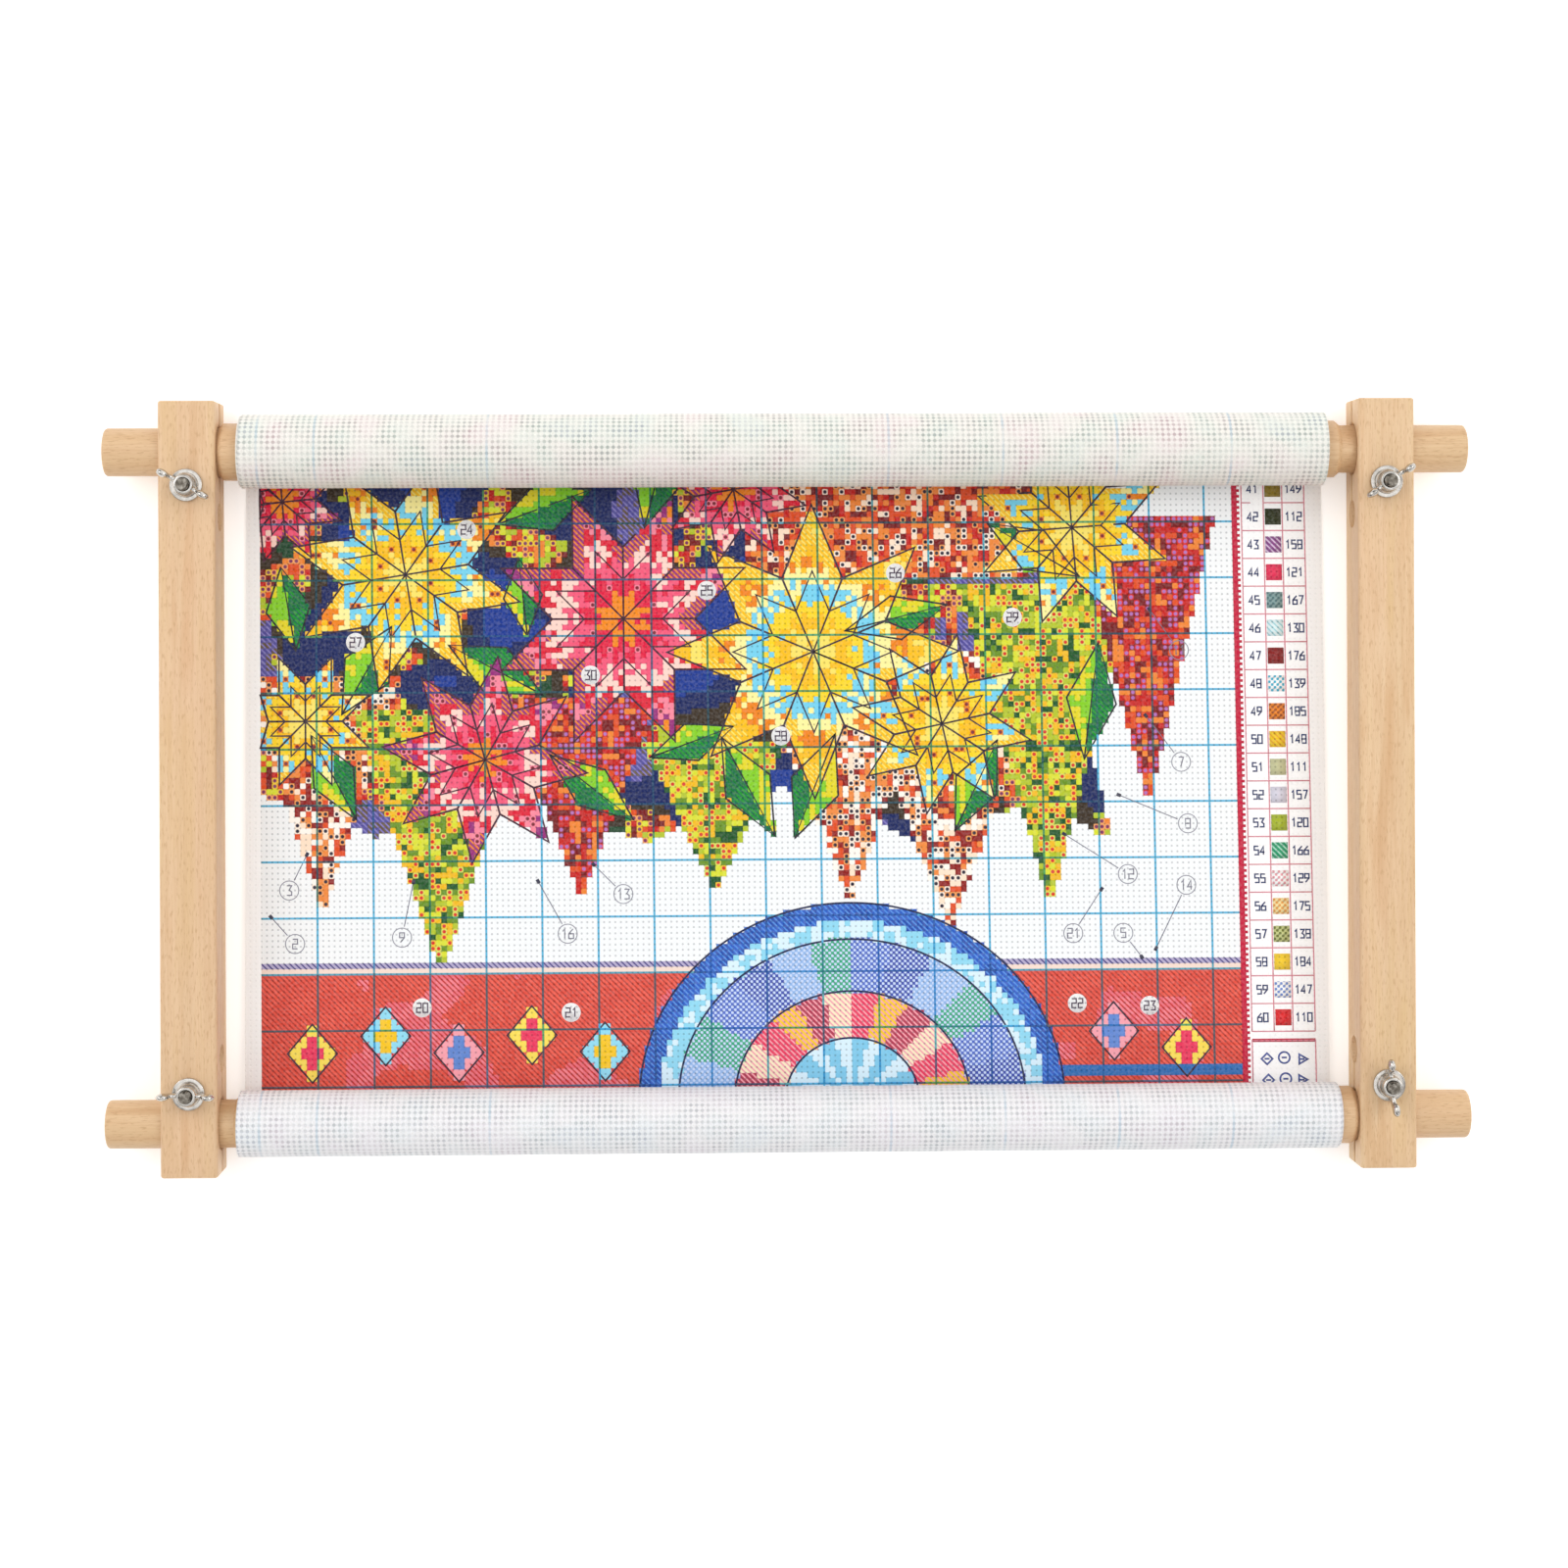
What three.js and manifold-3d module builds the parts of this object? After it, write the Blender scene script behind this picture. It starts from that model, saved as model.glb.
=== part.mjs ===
// Embroidery scroll frame of beech, lying on its back: +X runs along the rollers, +Y along the side rails
// towards the top roller, +Z towards the stitcher. The bolt heads' crowns stand on Z = 0. Millimetres.
import * as THREE from 'three';
import { mergeVertices } from 'three/addons/utils/BufferGeometryUtils.js';
import Module from 'manifold-3d';

const wasm = await Module();
wasm.setup();

// Side rails
const railLength = 300;
const railWidth = 22;
const railDepth = 24;
const railEdgeRound = 2.6;
const railEndBevel = 0.8;
const rollerFromRailEnd = 19.25;
const boltFromRailEnd = 32.6;
const reliefFromRailEnd = 44.7;
const reliefHoleDiameter = 11;
const reliefMouthBevel = 0.4;
const kerfWidth = 2.2;
const rollerMouthBevel = 1.4;

// Rollers
const gripDiameter = 18.7;
const barrelDiameter = 22.4;
const barrelLength = 437.2;
const barrelEndPlay = 6; // what the rails' inner faces leave over the barrel's length
const shortNeckLength = 44.6; // from the shoulder that bears on a rail to the grip's end
const longNeckLength = 49.8;
const gripEndRound = 1.4;
const shoulderBevel = 1.6;

// Header tape and its tacks, sunk in a flat along each barrel
const tapeWidth = 10.4;
const tapeThickness = 0.6;
const tapeEndMargin = 8.5; // of bare barrel at each end
const tapeFlatDepth = 2.4;
const tackCount = 5;
const tackHeadDiameter = 4;
const tackHeadHeight = 0.5;
const tackShankDiameter = 1.2;
const tackLength = 6;
const tackTipLength = 1.5;
const tackEndMargin = 20;

// Cloth
const clothThickness = 0.45;
const turnPitch = 0.9;
const topTurns = 3.05;
const bottomTurns = 1.33;
const topClothMargin = 6.8; // of bare barrel at each end, on average
const bottomClothMargin = 3.75;
const topClothOffset = -1.7;
const bottomClothOffset = 0;
const sheetWrapDegrees = 35; // how far the flat cloth's ends follow the rolls' backs

// Fasteners
const boltDiameter = 5;
const boltLength = 35; // under the head
const boltHeadDiameter = 13.5;
const boltHeadHeight = 3.3;
const boltHeadRim = 0.7;
const boltCrownDiameter = 5;
const boltNeckLength = 3.2;
const boltEndBevel = 0.6;
const washerDiameter = 12.5;
const washerThickness = 1;
const washerEdgeRound = 0.25;
const nutBaseDiameter = 9.6;
const nutTopDiameter = 7.6;
const nutFlangeHeight = 1.4;
const nutHeight = 6.2;
const wingSpan = 22.5;
const wingThickness = 1.9;
const wingTipHeight = 10.2; // above the nut's base
const earDiameter = 5.2;
const earThickness = 2.9;
const wingEdgeBevel = 0.3;
const wingAngles = { top_left: -29, top_right: 34, bottom_left: -1, bottom_right: -84 };

// Clearances
const seatGap = 0.3; // between pieces that bear on each other
const turningClearance = 0.25; // roller in its hole, on the radius
const cutOverrun = 5;

// Facets
const holeSteps = 32;
const rollerSteps = 40;
const spiralStepsPerTurn = 36;
const smallSteps = 20;
const tackSteps = 8;
const arcSteps = 5;
const cornerSteps = 3;
const earSteps = 8;

// Sizes and places worked out from those above
const railSpacing = barrelLength + barrelEndPlay; // between the inner faces
const tapeLength = barrelLength - 2 * tapeEndMargin;
const topClothWidth = barrelLength - 2 * topClothMargin;
const bottomClothWidth = barrelLength - 2 * bottomClothMargin;
const railBack = boltHeadHeight + seatGap;
const railFront = railBack + railDepth;
const axisHeight = railBack + railDepth / 2;
const rollerSpan = railLength - 2 * rollerFromRailEnd;
const railCentre = (railSpacing + railWidth) / 2;
const rollerHoleRadius = gripDiameter / 2 + turningClearance;
const boltHoleRadius = boltDiameter / 2 + seatGap;
const washerBase = railFront + seatGap;
const nutBase = washerBase + washerThickness + seatGap;
const innerTurnRadius = barrelDiameter / 2 + seatGap + clothThickness / 2;
const topRollRadius = innerTurnRadius + turnPitch * topTurns + clothThickness / 2;
const bottomRollRadius = innerTurnRadius + turnPitch * bottomTurns + clothThickness / 2;
const flatHeight = barrelDiameter / 2 - tapeFlatDepth; // of the tape's flat above the roller's axis
const tapeTop = flatHeight + seatGap + tapeThickness;

const xAxis = new THREE.Vector3(1, 0, 0);
const yAxis = new THREE.Vector3(0, 1, 0);
const zAxis = new THREE.Vector3(0, 0, 1);
const profileAcrossX = new THREE.Matrix4().makeBasis(yAxis, zAxis, xAxis); // drawn in Y and Z, pushed along X
const turnedAboutX = new THREE.Matrix4().makeBasis(zAxis, xAxis, yAxis); // a lathe's Y axis laid along X

const beech = () => new THREE.MeshStandardMaterial({ color: '#eacaa2', roughness: 0.55, metalness: 0 });
const rollerBeech = () => new THREE.MeshStandardMaterial({ color: '#e8c096', roughness: 0.5, metalness: 0 });
const cloth = () => new THREE.MeshStandardMaterial({ color: '#f1f0ec', roughness: 0.95, metalness: 0 });
const webbing = () => new THREE.MeshStandardMaterial({ color: '#e6dcc6', roughness: 0.95, metalness: 0 });
const zincSteel = () => new THREE.MeshStandardMaterial({ color: '#c9ccd0', roughness: 0.3, metalness: 1 });

// A closed geometry as a solid that can be cut and joined
function solidOf(geometry) {
  const bare = geometry.index ? geometry.toNonIndexed() : geometry.clone();
  bare.deleteAttribute('normal');
  bare.deleteAttribute('uv');
  const merged = mergeVertices(bare);
  const vertProperties = new Float32Array(merged.attributes.position.array);
  const triVerts = new Uint32Array(merged.index.array);
  return new wasm.Manifold(new wasm.Mesh({ numProp: 3, vertProperties, triVerts }));
}

function geometryOf(solid) {
  const mesh = solid.getMesh();
  const geometry = new THREE.BufferGeometry();
  geometry.setAttribute('position', new THREE.BufferAttribute(new Float32Array(mesh.vertProperties), 3));
  geometry.setIndex(new THREE.BufferAttribute(new Uint32Array(mesh.triVerts), 1));
  geometry.computeVertexNormals();
  return geometry;
}

function piece(name, geometry, material, x = 0, y = 0, z = 0) {
  const mesh = new THREE.Mesh(geometry, material);
  mesh.name = name;
  mesh.position.set(x, y, z);
  return mesh;
}

function rodAlongX(radius, length, steps) {
  return new THREE.CylinderGeometry(radius, radius, length, steps).applyMatrix4(turnedAboutX);
}

function rodAlongZ(radius, length, steps) {
  return new THREE.CylinderGeometry(radius, radius, length, steps).rotateX(Math.PI / 2);
}

// A bevelled mouth on both side faces of a rail, as one waisted cutter with its axis along X
function mouthCutter(holeRadius, bevel) {
  const faceX = railWidth / 2;
  const reach = bevel + cutOverrun;
  const profile = [
    new THREE.Vector2(0, -faceX - cutOverrun),
    new THREE.Vector2(holeRadius + reach, -faceX - cutOverrun),
    new THREE.Vector2(holeRadius, bevel - faceX),
    new THREE.Vector2(holeRadius, faceX - bevel),
    new THREE.Vector2(holeRadius + reach, faceX + cutOverrun),
    new THREE.Vector2(0, faceX + cutOverrun),
  ];
  return new THREE.LatheGeometry(profile, holeSteps).applyMatrix4(turnedAboutX);
}

function roundedRectangle(width, height, radius) {
  const w = width / 2;
  const h = height / 2;
  const shape = new THREE.Shape();
  shape.moveTo(-w + radius, -h);
  shape.lineTo(w - radius, -h);
  shape.absarc(w - radius, -h + radius, radius, -Math.PI / 2, 0);
  shape.lineTo(w, h - radius);
  shape.absarc(w - radius, h - radius, radius, 0, Math.PI / 2);
  shape.lineTo(-w + radius, h);
  shape.absarc(-w + radius, h - radius, radius, Math.PI / 2, Math.PI);
  shape.lineTo(-w, -h + radius);
  shape.absarc(-w + radius, -h + radius, radius, Math.PI, Math.PI * 1.5);
  return shape;
}

// A rail blank along Y, its long edges rounded and its ends bevelled
function railBlank() {
  const blank = new THREE.ExtrudeGeometry(roundedRectangle(railWidth, railDepth, railEdgeRound), {
    depth: railLength - 2 * railEndBevel,
    bevelThickness: railEndBevel,
    bevelSize: railEndBevel,
    bevelOffset: -railEndBevel,
    bevelSegments: 1,
    curveSegments: cornerSteps,
  });
  blank.translate(0, 0, railEndBevel - railLength / 2);
  return solidOf(blank.rotateX(Math.PI / 2));
}

// One end's clamp: roller hole, relief hole, the saw kerf that joins them to the rail's end, and the bolt's hole
function cutClampEnd(rail, end) {
  const endY = end * railLength / 2;
  const rollerY = endY - end * rollerFromRailEnd;
  const reliefY = endY - end * reliefFromRailEnd;
  const boltY = endY - end * boltFromRailEnd;
  const kerfLength = reliefFromRailEnd + cutOverrun;
  const kerf = new THREE.BoxGeometry(railWidth + 2 * cutOverrun, kerfLength, kerfWidth);
  kerf.translate(0, reliefY + end * kerfLength / 2, 0);
  const pocketSide = boltDiameter + 2 * seatGap;
  const pocketDepth = boltNeckLength + seatGap;
  const pocket = new THREE.BoxGeometry(pocketSide, pocketSide, pocketDepth + cutOverrun);
  pocket.translate(0, boltY, (pocketDepth - cutOverrun - railDepth) / 2);
  const boltHole = rodAlongZ(boltHoleRadius, railDepth + 2 * cutOverrun, smallSteps).translate(0, boltY, 0);
  return rail
    .subtract(solidOf(mouthCutter(rollerHoleRadius, rollerMouthBevel).translate(0, rollerY, 0)))
    .subtract(solidOf(mouthCutter(reliefHoleDiameter / 2, reliefMouthBevel).translate(0, reliefY, 0)))
    .subtract(solidOf(kerf))
    .subtract(solidOf(boltHole))
    .subtract(solidOf(pocket));
}

function sideRail(name, side) {
  const cut = cutClampEnd(cutClampEnd(railBlank(), 1), -1);
  return piece(name, geometryOf(cut), beech(), side * railCentre, 0, axisHeight);
}

// Points of a quarter circle from one angle to another, for outlines and turned profiles
function arcPoints(centreX, centreY, radius, from, to, steps) {
  const points = [];
  for (let i = 0; i <= steps; i += 1) {
    const angle = from + (to - from) * i / steps;
    points.push(new THREE.Vector2(centreX + radius * Math.cos(angle), centreY + radius * Math.sin(angle)));
  }
  return points;
}

function tackPlaces() {
  const reach = tapeLength / 2 - tackEndMargin;
  return Array.from({ length: tackCount }, (_, i) => -reach + 2 * reach * i / (tackCount - 1));
}

// Turned from one dowel: grip, neck, shoulder, barrel, shoulder, neck and grip. The short end is at -X.
function rollerSolid() {
  const grip = gripDiameter / 2;
  const barrel = barrelDiameter / 2;
  const total = shortNeckLength + barrelLength + longNeckLength;
  const barrelEnd = shortNeckLength + barrelLength;
  const profile = [
    new THREE.Vector2(0, 0),
    ...arcPoints(grip - gripEndRound, gripEndRound, gripEndRound, -Math.PI / 2, 0, cornerSteps),
    new THREE.Vector2(grip, shortNeckLength),
    new THREE.Vector2(barrel - shoulderBevel, shortNeckLength),
    new THREE.Vector2(barrel, shortNeckLength + shoulderBevel),
    new THREE.Vector2(barrel, barrelEnd - shoulderBevel),
    new THREE.Vector2(barrel - shoulderBevel, barrelEnd),
    new THREE.Vector2(grip, barrelEnd),
    ...arcPoints(grip - gripEndRound, total - gripEndRound, gripEndRound, 0, Math.PI / 2, cornerSteps),
    new THREE.Vector2(0, total),
  ];
  const turned = new THREE.LatheGeometry(profile, rollerSteps).applyMatrix4(turnedAboutX);
  turned.translate(-shortNeckLength - barrelLength / 2, 0, 0);
  const flat = new THREE.BoxGeometry(tapeLength + 2 * seatGap, barrelDiameter, tapeFlatDepth + cutOverrun);
  flat.translate(0, 0, flatHeight + (tapeFlatDepth + cutOverrun) / 2);
  let roller = solidOf(turned).subtract(solidOf(flat));
  const holeDepth = tackLength + cutOverrun;
  for (const x of tackPlaces()) {
    const hole = rodAlongZ(tackShankDiameter / 2 + seatGap, holeDepth, tackSteps);
    roller = roller.subtract(solidOf(hole.translate(x, 0, flatHeight - tackLength + holeDepth / 2)));
  }
  return roller;
}

function headerTape(name) {
  const strip = new THREE.BoxGeometry(tapeLength, tapeWidth, tapeThickness);
  let tape = solidOf(strip.translate(0, 0, tapeTop - tapeThickness / 2));
  for (const x of tackPlaces()) {
    const hole = rodAlongZ(tackShankDiameter / 2 + seatGap, tapeThickness + 2 * cutOverrun, tackSteps);
    tape = tape.subtract(solidOf(hole.translate(x, 0, tapeTop)));
  }
  return piece(name, geometryOf(tape), webbing());
}

function tapeTacks(label) {
  const head = tackHeadDiameter / 2;
  const shank = tackShankDiameter / 2;
  const headBase = tapeTop + seatGap;
  const tipEnd = headBase + tackHeadHeight - tackLength;
  const profile = [
    new THREE.Vector2(0, tipEnd),
    new THREE.Vector2(shank, tipEnd + tackTipLength),
    new THREE.Vector2(shank, headBase),
    new THREE.Vector2(head, headBase),
    new THREE.Vector2(head / 2, headBase + tackHeadHeight),
    new THREE.Vector2(0, headBase + tackHeadHeight),
  ];
  const tack = new THREE.LatheGeometry(profile, tackSteps).rotateX(Math.PI / 2);
  return tackPlaces().map((x, i) => piece(`${label}_${i + 1}`, tack, zincSteel(), x));
}

// The wound cloth in Y and Z: a spiral strip whose outer end lies where the flat cloth's end reaches
function spiralOutline(turns, side, outward) {
  const steps = Math.round(turns * spiralStepsPerTurn);
  const start = -Math.PI / 2 + THREE.MathUtils.degToRad(sheetWrapDegrees);
  const points = [];
  for (let i = 0; i <= steps; i += 1) {
    const turn = turns * i / steps;
    const radius = innerTurnRadius + turnPitch * (turns - turn) + outward;
    const angle = start + turn * Math.PI * 2;
    points.push(new THREE.Vector2(side * radius * Math.cos(angle), radius * Math.sin(angle)));
  }
  return points;
}

// The least distance from a point of the outer side to a stretch of the inner side, half a turn or more away
function printLeastGap(name, outer, inner) {
  let least = Infinity;
  const nearest = new THREE.Vector3();
  const flatPoint = (p) => new THREE.Vector3(p.x, p.y, 0);
  outer.forEach((p, i) => inner.slice(1).forEach((q, j) => {
    if (Math.abs(i - j) <= spiralStepsPerTurn / 2) return;
    new THREE.Line3(flatPoint(inner[j]), flatPoint(q)).closestPointToPoint(flatPoint(p), true, nearest);
    least = Math.min(least, nearest.distanceTo(flatPoint(p)));
  }));
  if (least < Infinity) console.log(name, 'least gap between turns', least.toFixed(2), 'mm');
}

function clothRoll(name, turns, side, width, offset) {
  const outer = spiralOutline(turns, side, clothThickness / 2);
  const inner = spiralOutline(turns, side, -clothThickness / 2);
  printLeastGap(name, outer, inner);
  const shape = new THREE.Shape([...outer, ...inner.reverse()]);
  const strip = new THREE.ExtrudeGeometry(shape, { depth: width, bevelEnabled: false });
  strip.translate(0, 0, offset - width / 2);
  return piece(name, strip.applyMatrix4(profileAcrossX), cloth());
}

// The flat cloth's section: a line that touches both rolls' backs, and a short arc round each roll's outer side
function sheetOutline(outward) {
  const topRadius = topRollRadius + seatGap + outward;
  const bottomRadius = bottomRollRadius + seatGap + outward;
  const touch = -Math.PI / 2 - Math.asin((topRadius - bottomRadius) / rollerSpan);
  const wrap = THREE.MathUtils.degToRad(sheetWrapDegrees);
  return [
    ...arcPoints(-rollerSpan / 2, 0, bottomRadius, touch - wrap, touch, arcSteps),
    ...arcPoints(rollerSpan / 2, 0, topRadius, touch, touch + wrap, arcSteps),
  ];
}

function clothSheet(name) {
  const shape = new THREE.Shape([...sheetOutline(0), ...sheetOutline(clothThickness).reverse()]);
  const sheet = new THREE.ExtrudeGeometry(shape, { depth: 1, bevelEnabled: false });
  sheet.translate(0, 0, -1 / 2).applyMatrix4(profileAcrossX);
  const places = sheet.attributes.position;
  for (let i = 0; i < places.count; i += 1) {
    const towardsTop = THREE.MathUtils.clamp(places.getY(i) / rollerSpan + 1 / 2, 0, 1);
    const width = THREE.MathUtils.lerp(bottomClothWidth, topClothWidth, towardsTop);
    const offset = THREE.MathUtils.lerp(bottomClothOffset, topClothOffset, towardsTop);
    places.setX(i, places.getX(i) * width + offset);
  }
  return piece(name, sheet, cloth(), 0, 0, axisHeight);
}

// Roller, tape, tacks and wound cloth share the roller's axis; the bottom roller is turned end for end
function rollerAssembly(label, side, turns, clothWidth, clothOffset) {
  const group = new THREE.Group();
  const barrelCentre = -side * (railSpacing / 2 - seatGap - barrelLength / 2);
  const turnedParts = new THREE.Group();
  turnedParts.add(piece(`${label}_roller`, geometryOf(rollerSolid()), rollerBeech()));
  turnedParts.add(headerTape(`${label}_header_tape`));
  turnedParts.add(...tapeTacks(`${label}_tape_tack`));
  turnedParts.position.x = barrelCentre;
  if (side < 0) turnedParts.rotation.z = Math.PI;
  group.add(turnedParts);
  group.add(clothRoll(`${label}_cloth_roll`, turns, side, clothWidth, clothOffset));
  group.position.set(0, side * rollerSpan / 2, axisHeight);
  return group;
}

// Domed head with a small flat crown, a square neck that bites into the wood, and a plain shank
function carriageBolt(name) {
  const head = boltHeadDiameter / 2;
  const crown = boltCrownDiameter / 2;
  const shank = boltDiameter / 2;
  const domeHeight = boltHeadHeight - boltHeadRim;
  const end = boltHeadHeight + boltLength;
  const dome = [];
  for (let i = 0; i <= arcSteps; i += 1) {
    const rise = Math.PI / 2 * i / arcSteps;
    const radius = crown + (head - crown) * Math.sin(rise);
    dome.push(new THREE.Vector2(radius, domeHeight * (1 - Math.cos(rise))));
  }
  const profile = [
    new THREE.Vector2(0, 0),
    ...dome,
    new THREE.Vector2(head, boltHeadHeight),
    new THREE.Vector2(shank, boltHeadHeight),
    new THREE.Vector2(shank, end - boltEndBevel),
    new THREE.Vector2(shank - boltEndBevel, end),
    new THREE.Vector2(0, end),
  ];
  const turned = solidOf(new THREE.LatheGeometry(profile, smallSteps).rotateX(Math.PI / 2));
  const neckHeight = boltNeckLength + boltHeadRim;
  const neck = new THREE.BoxGeometry(boltDiameter, boltDiameter, neckHeight);
  neck.translate(0, 0, boltHeadHeight + boltNeckLength - neckHeight / 2);
  return piece(name, geometryOf(turned.add(solidOf(neck))), zincSteel());
}

function flatWasher(name) {
  const outer = washerDiameter / 2;
  const section = [
    new THREE.Vector2(boltHoleRadius, 0),
    new THREE.Vector2(outer - washerEdgeRound, 0),
    new THREE.Vector2(outer, washerEdgeRound),
    new THREE.Vector2(outer, washerThickness - washerEdgeRound),
    new THREE.Vector2(outer - washerEdgeRound, washerThickness),
    new THREE.Vector2(boltHoleRadius, washerThickness),
    new THREE.Vector2(boltHoleRadius, 0),
  ];
  const ring = new THREE.LatheGeometry(section, smallSteps).rotateX(Math.PI / 2);
  return piece(name, ring, zincSteel(), 0, 0, washerBase);
}

// One wing in X and Z: it leaves the hub low, sweeps out and up, and ends round the ear's centre
function wingPlate(side) {
  const root = nutTopDiameter / 2 - seatGap;
  const ear = earDiameter / 2;
  const tipX = wingSpan / 2 - ear;
  const tipZ = wingTipHeight - ear;
  const shape = new THREE.Shape();
  shape.moveTo(root, nutFlangeHeight);
  shape.quadraticCurveTo(tipX, nutFlangeHeight, tipX + ear - wingEdgeBevel, tipZ);
  shape.lineTo(tipX, tipZ + ear - wingEdgeBevel);
  shape.quadraticCurveTo(tipX - ear, nutHeight, root, nutHeight - wingEdgeBevel);
  const plate = new THREE.ExtrudeGeometry(shape, {
    depth: wingThickness - 2 * wingEdgeBevel,
    bevelThickness: wingEdgeBevel,
    bevelSize: wingEdgeBevel,
    bevelOffset: -wingEdgeBevel,
    bevelSegments: 1,
    curveSegments: cornerSteps,
  });
  plate.translate(0, 0, wingEdgeBevel - wingThickness / 2).rotateX(Math.PI / 2);
  const lens = new THREE.SphereGeometry(ear, earSteps, earSteps);
  lens.scale(1, earThickness / earDiameter, 1).translate(tipX, 0, tipZ);
  const wing = solidOf(plate).add(solidOf(lens));
  return side > 0 ? wing : wing.rotate([0, 0, 180]);
}

function wingNut(name, angle) {
  const base = nutBaseDiameter / 2;
  const profile = [
    new THREE.Vector2(0, 0),
    new THREE.Vector2(base, 0),
    new THREE.Vector2(base, nutFlangeHeight / 2),
    new THREE.Vector2(base - nutFlangeHeight / 2, nutFlangeHeight),
    new THREE.Vector2(nutTopDiameter / 2, nutHeight - wingEdgeBevel),
    new THREE.Vector2(nutTopDiameter / 2 - wingEdgeBevel, nutHeight),
    new THREE.Vector2(0, nutHeight),
  ];
  const hub = solidOf(new THREE.LatheGeometry(profile, smallSteps).rotateX(Math.PI / 2));
  const bore = rodAlongZ(boltHoleRadius, nutHeight + 2 * cutOverrun, smallSteps).translate(0, 0, nutHeight / 2);
  const nut = hub.add(wingPlate(1)).add(wingPlate(-1)).subtract(solidOf(bore));
  const mesh = piece(name, geometryOf(nut), zincSteel(), 0, 0, nutBase);
  mesh.rotation.z = THREE.MathUtils.degToRad(angle);
  return mesh;
}

// Bolt from the back, washer and wing nut on the front, between the roller hole and the relief hole
function clampFastening(corner, sideX, sideY) {
  const group = new THREE.Group();
  group.add(carriageBolt(`${corner}_carriage_bolt`));
  group.add(flatWasher(`${corner}_washer`));
  group.add(wingNut(`${corner}_wing_nut`, wingAngles[corner]));
  group.position.set(sideX * railCentre, sideY * (railLength / 2 - boltFromRailEnd), 0);
  return group;
}

const frame = new THREE.Group();
frame.add(sideRail('left_side_rail', -1));
frame.add(sideRail('right_side_rail', 1));
frame.add(rollerAssembly('top', 1, topTurns, topClothWidth, topClothOffset));
frame.add(rollerAssembly('bottom', -1, bottomTurns, bottomClothWidth, bottomClothOffset));
frame.add(clothSheet('cloth_sheet'));
frame.add(clampFastening('top_left', -1, 1));
frame.add(clampFastening('top_right', 1, 1));
frame.add(clampFastening('bottom_left', -1, -1));
frame.add(clampFastening('bottom_right', 1, -1));

export default frame;
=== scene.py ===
import math

import bmesh
import bpy
import numpy as np
from mathutils import Euler, Matrix, Vector


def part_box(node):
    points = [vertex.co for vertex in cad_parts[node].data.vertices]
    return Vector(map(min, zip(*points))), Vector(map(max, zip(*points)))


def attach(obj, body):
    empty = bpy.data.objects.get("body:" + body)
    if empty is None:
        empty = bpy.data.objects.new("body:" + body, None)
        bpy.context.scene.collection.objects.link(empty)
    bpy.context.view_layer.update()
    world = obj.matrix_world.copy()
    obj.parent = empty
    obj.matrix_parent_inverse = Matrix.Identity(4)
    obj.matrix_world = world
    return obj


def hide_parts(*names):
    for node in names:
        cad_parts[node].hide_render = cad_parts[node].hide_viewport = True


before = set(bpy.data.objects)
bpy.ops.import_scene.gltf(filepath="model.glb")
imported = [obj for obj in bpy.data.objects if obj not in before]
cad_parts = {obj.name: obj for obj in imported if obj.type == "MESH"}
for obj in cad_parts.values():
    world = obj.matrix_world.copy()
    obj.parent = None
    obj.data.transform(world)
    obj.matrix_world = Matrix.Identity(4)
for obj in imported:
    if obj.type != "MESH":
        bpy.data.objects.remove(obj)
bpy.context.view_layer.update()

mm = 0.001
corners = ("top_left", "top_right", "bottom_left", "bottom_right")
pole = 0.4 * mm   # radius left flat in the middle of a turned end
hair = 0.01 * mm  # keeps two neighbouring steps of a profile apart


def boxOf(node):  # lowest corner, highest corner and middle of a CAD node, in metres
    low, high = (np.array(corner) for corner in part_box(node))
    return low, high, (low + high) / 2


railLow, railHigh, railMiddle = boxOf("left_side_rail")
rightLow, rightHigh, _ = boxOf("right_side_rail")
railFront, axisZ = railHigh[2], railMiddle[2]
axisY = {row: boxOf(row + "_roller")[2][1] for row in ("top", "bottom")}
sideOf = {"top": 1, "bottom": -1}

# Nodes and materials: colours are sRGB hex values, and one function adds every node


def linear(hexColour, alpha=1.0):  # sRGB hex to the linear values that a shader takes
    parts = [int(hexColour[i:i + 2], 16) / 255 for i in (1, 3, 5)]
    return [v / 12.92 if v <= 0.04045 else ((v + 0.055) / 1.055) ** 2.4 for v in parts] + [alpha]


def addNode(tree, kind, *values, out=0, stops=(), **named):
    # Adds one node with its settings and links, and gives back its output. Values fill its open sockets in
    # order. Names in small letters are settings and in capitals sockets. A ramp's stops are place and colour.
    node = tree.nodes.new("ShaderNode" + kind)
    for key in [key for key in named if key[0].islower()]:
        setattr(node, key, named.pop(key))
    pairs = list(zip([socket for socket in node.inputs if socket.enabled], values))
    pairs += [(node.inputs[key.replace("_", " ")], value) for key, value in named.items()]
    for socket, value in pairs:
        if isinstance(value, bpy.types.NodeSocket):
            tree.links.new(value, socket)
        else:
            socket.default_value = value
    for _ in stops[2:]:
        node.color_ramp.elements.new(0.5)
    for index, (place, colour) in enumerate(stops):
        stop = node.color_ramp.elements[index]
        stop.position = place
        stop.color = linear(colour) if isinstance(colour, str) else (colour, colour, colour, 1)
    return node.outputs[out] if isinstance(out, str) else [o for o in node.outputs if o.enabled][out]


def newMaterial(name, **sockets):  # a principled material; its tree and its shader come back for more nodes
    made = bpy.data.materials.new(name)
    made.use_nodes = True
    shader = next(node for node in made.node_tree.nodes if node.type == "BSDF_PRINCIPLED")
    for key, value in sockets.items():
        shader.inputs[key.replace("_", " ")].default_value = value
    return made, made.node_tree, shader


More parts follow.
